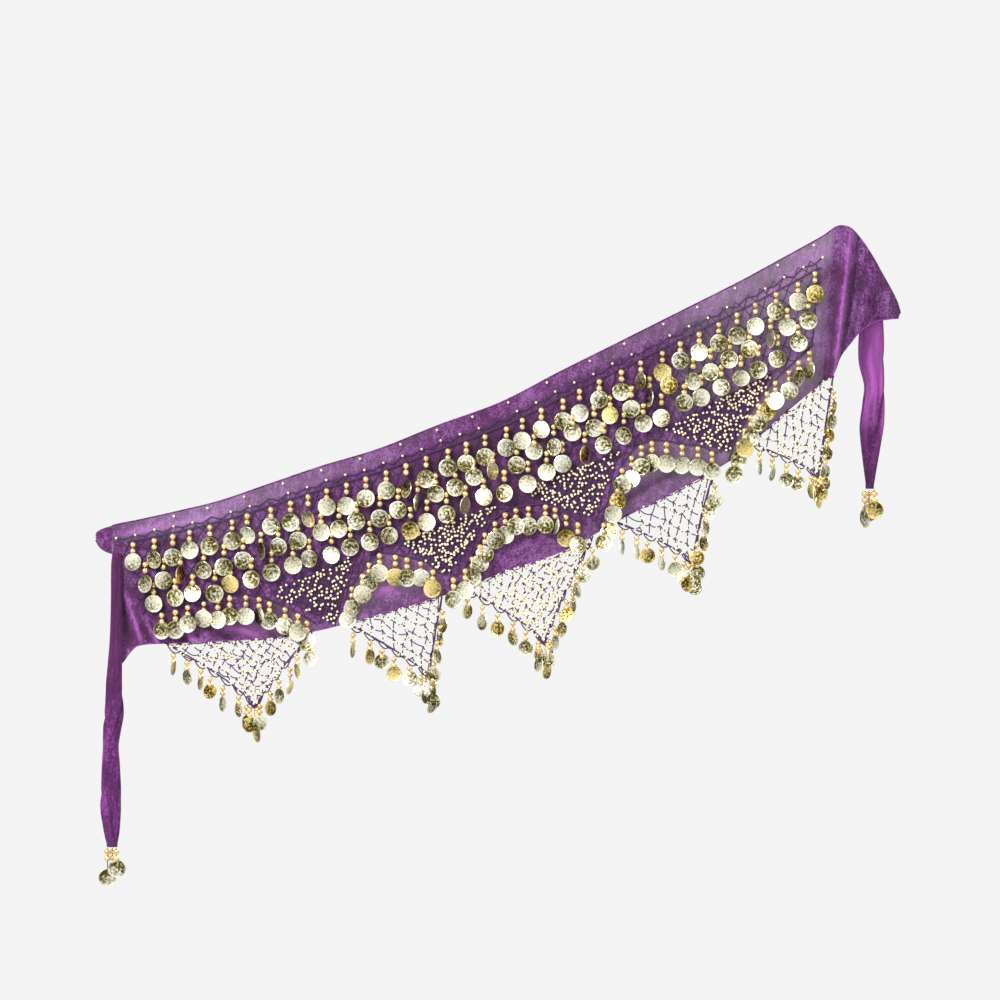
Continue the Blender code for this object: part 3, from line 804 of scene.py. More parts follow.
def chiffon_material(name, settings, sheer):
    """Chiffon: mottled, streaked dye, painted shade under the crochet and in folds, painted highlights, a
    weave that lets light through.
    """
    material, tree, shader = start_material(name, CHIFFON_FINISH)
    place, uv = coordinates(tree, "Object"), coordinates(tree, "UV")
    cloud = noise(tree, place, scale=42.0, detail=3.0, roughness=0.6)
    patches = noise(tree, place, scale=17.0)
    grain = noise(tree, place, scale=480.0, detail=3.0, roughness=0.75)
    stretched = add_node(tree, "ShaderNodeMapping", Vector=uv, Scale=STREAK_STRETCH[sheer])
    streaks = noise(tree, stretched.outputs[0], scale=260.0, detail=3.0, roughness=0.6)
    dye = weighted(tree, -1.3, (cloud, 0.6), (grain, 1.6), (patches, 0.6), (streaks, 0.8))
    main, light = ((settings.dye, settings.light_dye) if sheer else (settings.tie_dye, settings.tie_light))
    colour = ramp(tree, dye, list(zip(DYE_STOPS, (settings.deep_dye, main, light))))
    # Painted shade: the mesh's value darkens the dye towards the shade colour; below 0 it is painted light
    # towards the highlight colour.
    shade = attribute(tree, "shade")
    colour = mixed(tree, shade, colour, settings.painted_shade_colour)
    colour = mixed(tree, maths(tree, "MULTIPLY", shade, -1.0), colour, settings.painted_highlight)
    tree.links.new(colour, shader.inputs["Base Color"])
    across = add_node(tree, "ShaderNodeSeparateXYZ", Vector=uv)
    warp, weft = (maths(tree, "MULTIPLY_ADD", sine(tree, across.outputs[axis], 2 * math.pi / settings.weave),
                        0.5, 0.5) for axis in ("X", "Y"))
    weave = maths(tree, "MULTIPLY", warp, weft)
    bump(tree, shader, weighted(tree, grain, (weave, 0.6), (streaks, 2.0)), 0.6, 0.0006)
    if sheer:
        stopped = weighted(tree, -0.26, (cloud, 0.22), (grain, 0.30))
        stopped = maths(tree, "ADD", attribute(tree, "tone"), stopped)
        alpha = add_node(tree, "ShaderNodeClamp", Value=stopped, Min=0.2, Max=1.0)
        tree.links.new(alpha.outputs[0], shader.inputs["Alpha"])
    return material


def yarn_material(name, settings):
    """Crochet thread: indigo, with a fine ply that shows as light and dark."""
    material, tree, shader = start_material(name, YARN_FINISH)
    ply = noise(tree, coordinates(tree, "Object"), scale=900.0, roughness=0.6)
    colour = ramp(tree, ply, [(0.3, scaled(settings.thread, 0.55)), (0.7, scaled(settings.thread, 1.6))])
    tree.links.new(colour, shader.inputs["Base Color"])
    bump(tree, shader, ply, 0.5, 0.0002)
    return material


def coin_material(name, settings):
    """A stamped coin: a raised rim, a ring of dots, and a rosette with worn relief inside it.

    The coin's own map runs from -1 to 1, so its length is the share of the radius. A painted
    highlight lies on one side of it, mixed in worn patches, and more so where the mesh's tone is high.
    """
    material, tree, shader = start_material(name, COIN_FINISH)
    uv, tone = coordinates(tree, "UV"), attribute(tree, "tone")
    radius = add_node(tree, "ShaderNodeVectorMath", operation="LENGTH", i0=uv).outputs["Value"]
    across = add_node(tree, "ShaderNodeSeparateXYZ", Vector=uv).outputs
    angle = maths(tree, "ARCTAN2", across["Y"], across["X"])
    wear = noise(tree, uv, scale=3.4, detail=3.0, roughness=0.75, fourth=maths(tree, "MULTIPLY", tone, 40.0))
    petals = maths(tree, "MULTIPLY", sine(tree, angle, 8.0), 1.1)
    rosette = maths(tree, "SINE", maths(tree, "MULTIPLY_ADD", radius, 16.0, petals))
    inner = maths(tree, "LESS_THAN", radius, COIN_FIELD)
    field = maths(tree, "MULTIPLY", weighted(tree, wear, (rosette, 0.035)), inner)
    ring = maths(tree, "COMPARE", radius, COIN_DOTS, COIN_DOTS_HALF)
    dotted = maths(tree, "MULTIPLY", weighted(tree, wear, (sine(tree, angle, 34.0), 0.06)), ring)
    rim = maths(tree, "GREATER_THAN", radius, COIN_RIM)
    relief = weighted(tree, maths(tree, "ADD", field, dotted), (rim, 0.56))
    # Painted highlight on one side of each coin, along its own X and Y: that side reads higher and brighter.
    aside = weighted(tree, 0.0, (across["X"], -0.055), (across["Y"], 0.03))
    height = maths(tree, "ADD", relief, aside)
    recess, body, high = settings.coin_recess, settings.coin_body, settings.coin_high_and_highlight
    worn = ramp(tree, height, [(0.445, recess), (0.525, body), (0.635, high)])
    # Painted highlight colours, for the coins painted as brightly lit.
    painted_bright = ramp(tree, height, [(0.3, body), (0.47, high)])
    wear_and_painted_highlight = weighted(tree, -0.66, (wear, 1.2), (aside, 9.0), (tone, 1.0))
    shown = mixed(tree, wear_and_painted_highlight, worn, painted_bright)
    gilded = mixed(tree, attribute(tree, "gilt"), shown, GILT, "MULTIPLY")
    tree.links.new(gilded, shader.inputs["Base Color"])
    bump(tree, shader, relief, 0.6, 0.0005)
    return material


def bead_material(name, settings, colour_name, finish):
    """A small bead: one glaze that varies a little from bead to bead."""
    material, tree, shader = start_material(name, finish)
    change = noise(tree, coordinates(tree, "Object"), scale=160.0, detail=1.0)
    colour = getattr(settings, colour_name)
    glaze = ramp(tree, change, [(0.3, scaled(colour, 0.72)), (0.65, scaled(colour, 1.12))])
    tree.links.new(glaze, shader.inputs["Base Color"])
    return material


FINISHES = {
    # name of the material: its slot, what builds it, the panel's group that it reads, further values
    "sheer chiffon": ("chiffon", chiffon_material, "scarf_cloth", True),
    "gathered chiffon": ("chiffon", chiffon_material, "scarf_cloth", False),
    "crochet thread": ("yarn", yarn_material, "scarf_thread"),
    "stamped coin": ("coin_gold", coin_material, "scarf_drops"),
    "gold bead": ("coin_gold", bead_material, "scarf_drops", "bead_gold", GOLD_FINISH),
    "seed bead": ("coin_gold", bead_material, "scarf_drops", "seed_cream", SEED_FINISH),
}


def material_of(finish):
    """The material of this name, built once."""
    _, build, group, *values = FINISHES[finish]
    return bpy.data.materials.get(finish) or build(finish, getattr(bpy.context.scene, group), *values)


# Shapes

def band_surface(columns, rows):
    """The band: straight lines from the top edge to the hem, moved back by the folds and pleats."""
    t = even_steps(BAND_SECTIONS, columns, [0, 1, 4])
    line = curve_at(BAND_SECTIONS, t)
    share = np.linspace(0, 1, rows)[None, :]
    x = line[:, 0:1] + (line[:, 2:3] - line[:, 0:1]) * share
    z = line[:, 1:2] + (line[:, 3:4] - line[:, 1:2]) * share
    t = t[:, None]
    front = 1 - 0.75 * rise(t, FRONT_SECTIONS + 0.5, 1)
    y = line[:, 4:5] + cloth_relief(np.minimum(x, RELIEF_END), z) * front + pleat_relief(t, share)
    points = np.stack([x, y, z], axis=-1)
    along = lengths_of(points[:, 0])
    down = np.linalg.norm(points[:, :1] - points, axis=2)
    uv = np.stack([np.broadcast_to(along[:, None], x.shape), down], axis=-1) * MM
    return points, uv, t


def crochet_low():
    """The crochet's lower edge: the scallops, with the grounds' low corners between them."""
    line = []
    for (_, path), ground in zip(SCALLOPS, GROUNDS + [None]):
        line += [point for point in path if not line or point[0] > line[-1][0]]
        if ground is not None:
            line.append((max(ground[2][0], line[-1][0] + 1), ground[2][1]))
    return np.array(line, float)


def coin_zone(x, z):
    """1 in the crochet between the upper chain and the scallops, fading out above and below it."""
    low = crochet_low()
    above = z - np.interp(x, low[:, 0], low[:, 1])
    ends = rise(x, 14, 26) * (1 - rise(x, 686, 26))
    return rise(top_z(x) - z, 12, 8) * rise(above, -2, 6) * ends


def ground_zone(x, z):
    """1 inside the beaded triangles: how far a point lies inside all three of a triangle's sides."""
    total = np.zeros(np.broadcast(x, z).shape)
    for left, right, low, _ in GROUNDS:
        corners = np.array([left, low, right], float)
        inside = np.full(total.shape, 1e9)
        for (ax, az), (bx, bz) in zip(corners, np.roll(corners, -1, axis=0)):
            side = ((bx - ax) * (z - az) - (bz - az) * (x - ax)) / math.hypot(bx - ax, bz - az)
            inside = np.minimum(inside, side)
        total = np.maximum(total, rise(inside, -3, 5))
    return total


def band_cover(points, t, shade):
    """Share of the light that the cloth stops: the plain cloth, and more or less at each place.

    More in the middle, at the left edge, in the lower left folds, under the crochet, where the end
    is turned and where shade is painted; less in the thin strip on the right.
    """
    x, z = points[..., 0], points[..., 2]
    down = np.clip((top_z(x) - z) / BAND_DEPTH, 0, 1)
    turned = rise(t, 17.2, 1)
    beside = rise(x, 688, 14) * rise(down, 0.08, 0.1)
    places = {
        "middle": bell(x, 390, 150),
        "left": bell(x, 0, 30),
        "lower": bell(x, 50, 150) * rise(down, 0.1, 0.5),
        "turned": turned,
        "crochet": np.maximum(coin_zone(x, z), ground_zone(x, z)),
        "thin": rise(x, 530, 90) * (1 - turned) * (1 - rise(down, 0.32, 0.3)) * (1 - beside),
        "shaded": np.clip(shade, 0, 1),
    }
    return np.clip(COVER["plain"] + sum(COVER[k] * v for k, v in places.items()), 0.3, 0.99)


def band_painted_shade(points, t):
    """Painted shade that darkens the dye: under the crochet, where it partly stands for the dense dark
    thread, in the folds and troughs and at the left edge.

    Painted light on the ridges, on the hem of the turned end and at a pale place over the second scallop.
    """
    x, z = points[..., 0], points[..., 2]
    down = np.clip((top_z(x) - z) / BAND_DEPTH, 0, 1)
    row = np.linspace(0, 1, points.shape[1])[None, :]
    middle = bell(x, 370, 155)
    # Painted shade between the coins, deepest in the middle, partly standing for the dense crochet.
    coins = (PAINTED_SHADE["coins"] + PAINTED_SHADE["middle_coins"] * middle) * coin_zone(x, z)
    places = {
        "folds": bell(x, 40, 60) * bell(z, -62, 42),
        "edge": bell(x, 8, 11) * (1 - rise(z, -14, 20)),
        "pale": bell(x, 285, 40) * bell(z, -40, 26),
        "beside": rise(x, 684, 18) * rise(down, 0.1, 0.12) * (1 - rise(t, 18, 1)),
        "middle": middle,
        "turned": rise(t, 19.2, 0.5),
        "hem": bell(row, 1, 0.03) * rise(t, 18, 1),
        "creases": fold_sum(np.minimum(x, RELIEF_END), z, CREASES),
        "pleats": pleat_relief(t, down),
    }
    # Painted shade under the crochet and the beaded triangles, partly standing for their dark thread.
    crochet = np.maximum(coins, PAINTED_SHADE["grounds"] * ground_zone(x, z))
    return np.clip(crochet + sum(PAINTED_SHADE[k] * v for k, v in places.items()), -0.6, 0.95)


def roll_surface(columns, rows):
    """The rolled end: its three drawn lines as curves, joined by an arch, with soft gathers.

    The arch is the parabola through the three lines; the gathers are a sine across it.
    """
    top_x, high, hem_x, low, back = BAND_SECTIONS[0]
    edge = [top_x]
    for share in (0.0, ROLL_SHARE / 2, ROLL_SHARE):
        x, z = top_x + (hem_x - top_x) * share, high + (low - high) * share
        edge += [z, back + float(cloth_relief(np.array(x), np.array(z)))]
    rest = [[x, high, back, middle, back - 0.9, low, back] for x, high, middle, low, back in ROLL_SECTIONS]
    lines = np.array([edge] + rest)
    t = np.linspace(0, len(lines) - 1, columns)
    drawn = curve_at(lines, t)
    w = np.linspace(0, 1, rows)[None, :]
    weights = [2 * (w - 0.5) * (w - 1), 4 * w * (1 - w), 2 * w * (w - 0.5)]
    z = sum(k * drawn[:, c:c + 1] for k, c in zip(weights, (1, 3, 5)))
    y = sum(k * drawn[:, c:c + 1] for k, c in zip(weights, (2, 4, 6)))
    t = t[:, None]
    gather = 0.5 * np.sin(w * 21 + t * 0.8) * rise(t, 0, 1.2)
    x = drawn[:, 0:1] - gather * rise(t, 0.5, 1)
    points = np.stack([x, y + gather * 0.7, z], axis=-1)
    along = lengths_of(points[:, rows // 2])
    uv = np.stack(np.broadcast_arrays(along[:, None], w * ROLL_WIDTH), axis=-1) * MM
    return points, uv


def tie_surface(table, middle, columns, rows, twist, phase):
    """A gathered tie: an open loop round each level's centre, its radius pressed in by gathers that wind.

    The gathers are sines of the angle, the folds narrow bells, and both turn as they go down.
    """
    t = np.linspace(0, len(table) - 1, rows)
    z, left, right, half = curve_at(table, t).T[:, :, None]
    mouth = math.radians(TIE_MOUTH)
    share = np.linspace(0, 1, columns)[None, :]
    angle = math.pi / 2 + mouth / 2 + (2 * math.pi - mouth) * share
    wind = twist * t[:, None] / len(table)
    ripple = sum(depth * np.sin(count * angle + wind * winding + start + (phase if start == 0 else 0))
                 for count, winding, start, depth in TIE_RIPPLES)
    fold = sum(depth * bell(np.sin((angle + wind * slant + phase + turn) / 2), 0, 0.1)
               for turn, slant, depth in TIE_FOLDS)
    fade = 0.65 + 0.35 * np.sin(t[:, None] * 1.1 + phase)
    inward = (0.09 * ripple + 0.26 * fold) * fade
    scale = np.clip(1 - inward, 0.55, 1.04)
    x = (left + right) / 2 + (right - left) / 2 * np.cos(angle) * scale
    y = middle + half * np.sin(angle) * np.clip(scale - 0.1 * ripple, 0.45, 1.1)
    points = np.stack([x, y, np.broadcast_to(z, x.shape)], axis=-1)
    down = np.broadcast_to(z[0] - z, x.shape)
    uv = np.stack([share * 58 + down * 0.1, down], axis=-1) * MM
    # The third value is painted shade: darker where the gathers press in, lighter where they stand out.
    return points, uv, np.clip(2.6 * inward, -0.5, 0.8)


def tie_middles():
    """Depth of each tie's centre line, taken from its solid."""
    found = []
    for node in ("tie_left", "tie_right"):
        low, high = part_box(node)
        found.append((low.y + high.y) / 2 / MM)
    return found


def on_cloth(flat, out):
    """(x, z) points put in front of the cloth by out."""
    flat = np.asarray(flat, float)
    return np.stack([flat[..., 0], cloth_y(flat[..., 0], flat[..., 1]) - out, flat[..., 1]], axis=-1)


def chain_tubes(path, out_y, period=4.4, swing=0.55, radius=0.5):
    """Crochet chain: two threads that swing from side to side of the path, half a period apart.

    path is (x, z); out_y gives the depth for an array of (x, z).
    """
    length = lengths_of(path)[-1]
    count = max(8, int(length / period * 6))
    places = np.linspace(0, length, count)
    flat = at_lengths(path, places)
    run = np.gradient(flat, axis=0)
    run /= np.linalg.norm(run, axis=1)[:, None] + 1e-9
    side = np.stack([-run[:, 1], run[:, 0]], axis=1)
    made = []
    for start in (0.0, math.pi):
        cycle = places / period * 2 * math.pi + start
        moved = flat + side * (swing * np.sin(cycle))[:, None]
        y = out_y(moved) - 0.35 * np.cos(cycle * 2)
        made.append(np.stack([moved[:, 0], y, moved[:, 1]], axis=1))
    return tubes(np.array(made), radius, 5)


def strands(starts, ends, sag, points=7):
    """Curves from starts to ends that hang by sag at their middle: sag times four t (1 - t)."""
    t = np.linspace(0, 1, points)[None, :, None]
    line = starts[:, None] + (ends - starts)[:, None] * t
    hang = np.asarray(sag, float).reshape(-1, 1) * (4 * t * (1 - t))[..., 0]
    line[..., 2] -= hang
    return line


def net_edges(levels):
    """Ends of the threads down from each knot to the two knots under it, and of the top line."""
    starts, ends = [levels[0][:-1]], [levels[0][1:]]
    for upper, lower in zip(levels, levels[1:]):
        starts += [upper[:-1], upper[1:]]
        ends += [lower, lower]
    return np.vstack(starts), np.vstack(ends)


def turn_matrices(yaw, pitch, roll):
    """Turns about Z, then X, then Y, as matrices."""
    cy, sy = np.cos(yaw), np.sin(yaw)
    cp, sp = np.cos(pitch), np.sin(pitch)
    cr, sr = np.cos(roll), np.sin(roll)
    zero, one = np.zeros_like(yaw), np.ones_like(yaw)
    about_z = np.array([[cy, -sy, zero], [sy, cy, zero], [zero, zero, one]])
    about_x = np.array([[one, zero, zero], [zero, cp, -sp], [zero, sp, cp]])
    about_y = np.array([[cr, zero, sr], [zero, one, zero], [-sr, zero, cr]])
    return np.einsum("ijn,jkn,kln->nil", about_z, about_x, about_y)


def coin_template(radius, thickness, sides=16):
    """A coin in the XZ plane: a profile turned about Y, from the front's middle over the rim to the back."""
    profile = np.array([(0.8, 0.62), (0.88, 1.0), (0.97, 1.0), (1.0, 0.6),
                        (1.0, -0.6), (0.97, -1.0), (0.88, -1.0), (0.8, -0.62)])
    points = turned(profile[:, 0] * radius, -profile[:, 1] * thickness / 2, sides)[:, [0, 2, 1]]
    walls = grid_faces(len(profile), sides, wrap=True)
    front = np.arange(sides)[None, :]
    back = front[:, ::-1] + (len(profile) - 1) * sides
    return points, [walls, front, back]


def drop_pieces(name, drops, depths, coin_depths, turns, nodes, chance):
    """Coins, beads and threads of one group of drops, as three objects."""
    settings = bpy.context.scene.scarf_drops
    _, _, painted_bright, gilded, scale = DROP_GROUPS[name]
    radius, bead = settings.coin / MM / 2 * scale, settings.bead / MM / 2 * scale
    x, z, hang_x, length = drops.T
    count = len(drops)
    swing = chance.uniform(-1, 1, count)
    pitch = np.radians(chance.normal(0, 7, count))
    roll = chance.uniform(-np.pi, np.pi, count)
    centres = np.stack([hang_x, coin_depths, z - length], axis=1)
    template, faces = coin_template(radius, COIN_WALL)
    coins = copies(template, faces, centres, turns=turn_matrices(turns, pitch, roll))
    # Tone 0.75 marks the coins painted as brightly lit; the others lean to worn.
    tone = np.where(chance.random(count) < painted_bright, 0.75, chance.beta(1.0, 3.6, count))
    gilt = np.where(chance.random(count) < gilded, 0.85, chance.uniform(0, 0.2, count))
    values = {key: np.repeat(value, len(template)) for key, value in (("tone", tone), ("gilt", gilt))}
    uv = np.tile(template[:, [0, 2]] / radius, (count, 1))
    piece(f"{name}_coins", coins, "stamped coin", *nodes, uv=uv, smooth=False, **values)
    middles = []
    for down in (bead + 0.3, bead * 3 + 0.35):
        y = depths + (coin_depths - depths) * down / (length - radius) * 0.6
        middles.append(np.stack([hang_x + swing * 0.25, y, z - down], axis=1))
    size = np.tile(chance.uniform(0.92, 1.04, count), 2) * bead
    piece(f"{name}_beads", copies(*ball(6, 10), np.vstack(middles), scale=size), "gold bead")
    root = np.stack([x, depths + 0.4, z], axis=1)
    under = np.stack([hang_x, depths, z - 0.8], axis=1)
    path = np.stack([root, under, middles[1], centres + (0, 0, radius * 0.86)], axis=1)
    piece(f"{name}_threads", tubes(path, DROP_THREAD, 4), "crochet thread")


# Settings

def colour_setting(name, description, default):
    """A colour of the panel."""
    return bpy.props.FloatVectorProperty(name=name, description=description, subtype="COLOR",
                                         default=default)


def length_setting(name, description, default):
    """A length of the panel, in metres."""
    return bpy.props.FloatProperty(name=name, description=description, unit="LENGTH", default=default)


class ScarfCloth(bpy.types.PropertyGroup):
    """Colours and sizes of the cloth"""
    deep_dye: colour_setting("Deep dye", "Darkest purple of the cloth", (0.046, 0.006, 0.050))
    dye: colour_setting("Dye", "Main purple of the cloth", (0.130, 0.020, 0.140))
    light_dye: colour_setting("Light dye", "Lightest violet of the cloth", (0.245, 0.108, 0.305))
    tie_dye: colour_setting("Tie dye", "Main violet of the ties", (0.088, 0.009, 0.098))
    tie_light: colour_setting("Tie light", "Lightest violet of the ties", (0.200, 0.040, 0.210))
    # Painted highlight colour, mixed into the dye on fold ridges and pale places.
    painted_highlight: colour_setting("Ridge", "Lightest violet, along the ridges of folds", (0.400, 0.100, 0.420))
    # Painted shade colour, mixed into the dye in folds, troughs and under the crochet.
    painted_shade_colour: colour_setting("Crochet shade", "Dye seen under the dark crochet", (0.052, 0.007, 0.046))
    weave: length_setting("Weave", "Distance from one thread of the weave to the next", 0.0009)
    wall: length_setting("Cloth thickness", "Thickness of one layer", 0.00035)


class ScarfThread(bpy.types.PropertyGroup):
    """Colour and size of the crochet thread"""
    thread: colour_setting("Thread", "Indigo of the crochet thread", (0.044, 0.013, 0.066))
    radius: length_setting("Thread radius", "Half the thickness of a net's thread", 0.00062)


class ScarfDrops(bpy.types.PropertyGroup):
    """Sizes and colours of coins and beads"""
    coin: length_setting("Coin", "Diameter of a coin", 0.0178)
    bead: length_setting("Gold bead", "Diameter of a round bead", 0.0064)
    seed: length_setting("Seed bead", "Diameter of a seed bead", 0.0029)
    bead_gold: colour_setting("Bead gold", "Colour of the round beads", (0.80, 0.58, 0.26))
    seed_cream: colour_setting("Seed cream", "Colour of the seed beads", (0.85, 0.73, 0.49))
    coin_recess: colour_setting("Coin recess", "Olive in the coin's stamped hollows", (0.058, 0.046, 0.014))
    coin_body: colour_setting("Coin body", "Pale gold of the coin", (0.33, 0.30, 0.135))
    # High parts of the relief, and the painted highlight colour of brightly lit coins.
    coin_high_and_highlight: colour_setting("Coin high", "Worn high parts of the coin", (0.93, 0.92, 0.78))


# Operators

class SCARF_OT_band(bpy.types.Operator):
    """Build the band with its folds, its turned right end, its rolled left end and its hems"""
    bl_idname = "scarf.band"
    bl_label = "Band"

    def execute(self, context):
        points, uv, t = band_surface(*BAND_GRID)
        faces = grid_faces(*BAND_GRID)[:, ::-1]
        # Painted shade and painted light for the band's dye.
        shade = band_painted_shade(points, t)
        # Light passes both faces of the cloth's wall, which stop the whole share together.
        values = {"tone": 1 - np.sqrt(1 - band_cover(points, t, shade)), "shade": shade}
        band, area = cloth_piece("band_cloth", points, faces, "sheer chiffon", uv, "band", **values)
        self.roll()
        self.hems([points[:, 0], points[:, -1]])
        return {"FINISHED"}

    @staticmethod
    def roll():
        """The rolled left end, with painted shade that grows from its upper to its lower edge."""
        points, uv = roll_surface(*ROLL_GRID)
        down = np.tile(np.linspace(-1, 1, ROLL_GRID[1]), ROLL_GRID[0])
        values = {"tone": np.full(down.size, ROLL_COVER), "shade": 0.3 + 0.45 * np.clip(down, -0.6, 1)}
        faces = grid_faces(*ROLL_GRID)
        roll, area = cloth_piece("roll_cloth", points, faces, "sheer chiffon", uv, "band", **values)

    @staticmethod
    def hems(edges):
        """A round hem along the top edge, painted darker, and one along the lower edge, painted lighter."""
        made = tubes(edges, HEM_RADIUS, 6)
        count = len(made[0])
        values = {"tone": np.ones(count), "shade": np.repeat([0.3, -0.25], count // 2)}
        piece("band_hems", made, "sheer chiffon", uv=made[0][:, [0, 2]] * MM, **values)


class SCARF_OT_ties(bpy.types.Operator):
    """Build the two gathered ties and the thread wound round their ends"""
    bl_idname = "scarf.ties"
    bl_label = "Ties"

    def execute(self, context):
        wraps = []
        for (name, table, twist, phase, darker), middle in zip(TIES, tie_middles()):
            points, uv, shade = tie_surface(table, middle, *TIE_GRID, twist, phase)
            # Each tie's painted shade changes going down.
            faces, shade = grid_faces(*points.shape[:2]), darker(shade, points[..., 2])
            tie, area = cloth_piece(f"{name}_cloth", points, faces, "gathered chiffon", uv, name,
                                    shade=shade)
            wraps.append(self.wrap(table[-1], middle))
        piece("tie_end_wraps", tubes(wraps, WRAP_RADIUS, 6), "crochet thread")
        return {"FINISHED"}

    @staticmethod
    def wrap(end, middle):
        """A helix round the tie's last section: circles of its half widths, going down evenly."""
        z, left, right, half = end
        share = np.linspace(0, 1, 90)
        turn = share * WRAP_TURNS * 2 * math.pi
        x = (left + right) / 2 + ((right - left) / 2 + 0.4) * np.cos(turn)
        y = middle + (half + 0.5) * np.sin(turn)
        return np.stack([x, y, z + 4.5 - share * WRAP_HEIGHT], axis=1)


class SCARF_OT_cords(bpy.types.Operator):
    """Build the crochet chains along the rows, the scallops and the nets, and the loops between them"""
    bl_idname = "scarf.cords"
    bl_label = "Cords"

    def execute(self, context):
        rows, scallops, nets = LAYOUT
        zigzag = self.zigzag()
        on_rows = [chain_tubes(path, lambda flat: on_cloth(flat, CHAIN_OUT)[:, 1])
                   for _, path, _ in rows + scallops]
        on_nets = [chain_tubes(border, lambda flat: hem_at(flat[:, 0])[0]) for _, _, border, _ in nets]
        upper = chain_tubes(zigzag, lambda flat: on_cloth(flat, ZIGZAG_OUT)[:, 1],
                            period=3.6, swing=0.4, radius=0.4)
        for name, parts in (("row_chains", on_rows), ("net_chains", on_nets),
                            ("cloth_loops", [upper, self.loops()])):
            piece(name, joined(parts), "crochet thread")
        self.seeds(context.scene.scarf_drops.seed / MM / 2, zigzag)
        return {"FINISHED"}

    @staticmethod
    def zigzag():
        """The upper chain: a line under the top edge, every second point up and the others down."""
        x = np.linspace(*ZIGZAG_ENDS, ZIGZAG_POINTS)
        number = np.arange(ZIGZAG_POINTS)
        swing = ZIGZAG_SWING * (-1.0) ** number + ZIGZAG_UNEVEN * np.sin(number * 2.1)
        return np.stack([x, top_z(x) - np.interp(x, ZIGZAG_ENDS, ZIGZAG_BELOW) + swing], axis=1)

    @staticmethod
    def loops():
        """A slack diamond net from the upper chain to the lowest row: knots in staggered lines."""
        chance = np.random.default_rng(17)
        share = np.linspace(0, 1, LACE_LINES)[:, None]
        column, line = np.arange(LACE_COLUMNS)[None, :], np.arange(LACE_LINES)[:, None]
        x = LACE_FROM + LACE_WIDTH / LACE_COLUMNS * (column + 0.5 * (line % 2)) + 16 * share
        x = np.minimum(x + chance.uniform(-LACE_JITTER, LACE_JITTER, x.shape), LACE_END - 8 * share)
        low = crochet_low()
        reach = top_z(x) - LACE_BELOW - np.interp(x, low[:, 0], low[:, 1])
        uneven = np.where(share % 1 == 0, 0, chance.uniform(-LACE_JITTER, LACE_JITTER, x.shape))
        z = top_z(x) - LACE_BELOW - share * reach - uneven
        knots = np.stack([x, np.zeros_like(x), z], axis=-1)
        starts, ends = [], []
        for row, (upper, lower) in enumerate(zip(knots, knots[1:])):
            first, second = (upper[1:], lower[:-1]) if row % 2 == 0 else (upper[:-1], lower[1:])
            starts += [upper, first]
            ends += [lower, second]
        starts, ends = np.vstack(starts), np.vstack(ends)
        path = strands(starts, ends, chance.uniform(*LACE_SLACK, len(starts)), 6)
        return tubes(on_cloth(path[..., [0, 2]], LACE_OUT), LACE_THREAD, 4)

    @staticmethod
    def seeds(size, zigzag):
        """Seed beads on most of the upper chain's peaks and along the top edge."""
        chance = np.random.default_rng(11)
        peaks = zigzag[::2]
        picked = peaks[chance.random(len(peaks)) < PEAKS_BEADED]
        x = np.arange(66, 700, EDGE_SEED_PITCH)
        x = x + chance.uniform(-3, 3, len(x))
        edge = np.stack([x, top_z(x) - EDGE_SEED_BELOW], axis=1)
        places = on_cloth(np.vstack([picked, edge]), size + 1.0)
        small_balls("edge_seeds", places, size * 0.9, "seed bead")


class SCARF_OT_nets(bpy.types.Operator):
    """Build the five crochet nets with their seed beads"""
    bl_idname = "scarf.nets"
    bl_label = "Nets"

    def execute(self, context):
        radius = context.scene.scarf_thread.radius / MM
        size = context.scene.scarf_drops.seed / MM / 2
        chance = np.random.default_rng(5)
        seeds, sizes, knots = [], [], []
        for (name, levels, border, drops), beaded in zip(LAYOUT[2], NET_BEADED):
            levels = [line + chance.normal(0, NET_JITTER, line.shape) * (1, 0.3, 1 if level else 0)
                      for level, line in enumerate(levels)]
            starts, ends = net_edges(levels)
            line = strands(starts, ends, chance.uniform(*NET_SLACK, len(starts)))
            made = joined([tubes(line, radius, 5), tubes(self.picots(border, drops), radius * 1.1, 5)])
            piece(f"{name}_threads", made, "crochet thread", name)
            knots += levels
            for place in (2, 4):
                some = line[chance.random(len(line)) < beaded, place]
                aside = chance.uniform(-NET_SEED_JITTER, NET_SEED_JITTER, some.shape) * (1, 0.4, 1)
                seeds.append(some + aside - (0, size * 0.6, 0))
                sizes.append(size * chance.uniform(0.72, 0.95 if beaded < 0.8 else 1.05, len(some)))
        small_balls("net_knots", np.vstack(knots), KNOT_RADIUS, "crochet thread")
        small_balls("net_seeds", np.vstack(seeds), np.concatenate(sizes), "seed bead")
        return {"FINISHED"}

    @staticmethod
    def picots(border, drops):
        """A slack loop round each drop's root: sin(pi t) to the power 0.7, from the border out and back."""
        fine = np.linspace(0, lengths_of(border)[-1], 400)
        roots = drops[:, :2] + (0, LOOP_DEPTH)
        away = np.linalg.norm(at_lengths(border, fine)[None] - roots[:, None], axis=2)
        t = np.linspace(0, 1, 11)
        places = fine[away.argmin(axis=1)][:, None] + LOOP_LENGTH * (t - 0.5)
        loop = at_lengths(border, np.clip(places, 0, fine[-1]))
        loop[..., 1] -= np.sin(np.pi * t) ** 0.7 * LOOP_DEPTH
        return np.insert(loop, 1, hem_at(loop[..., 0])[0], axis=2)


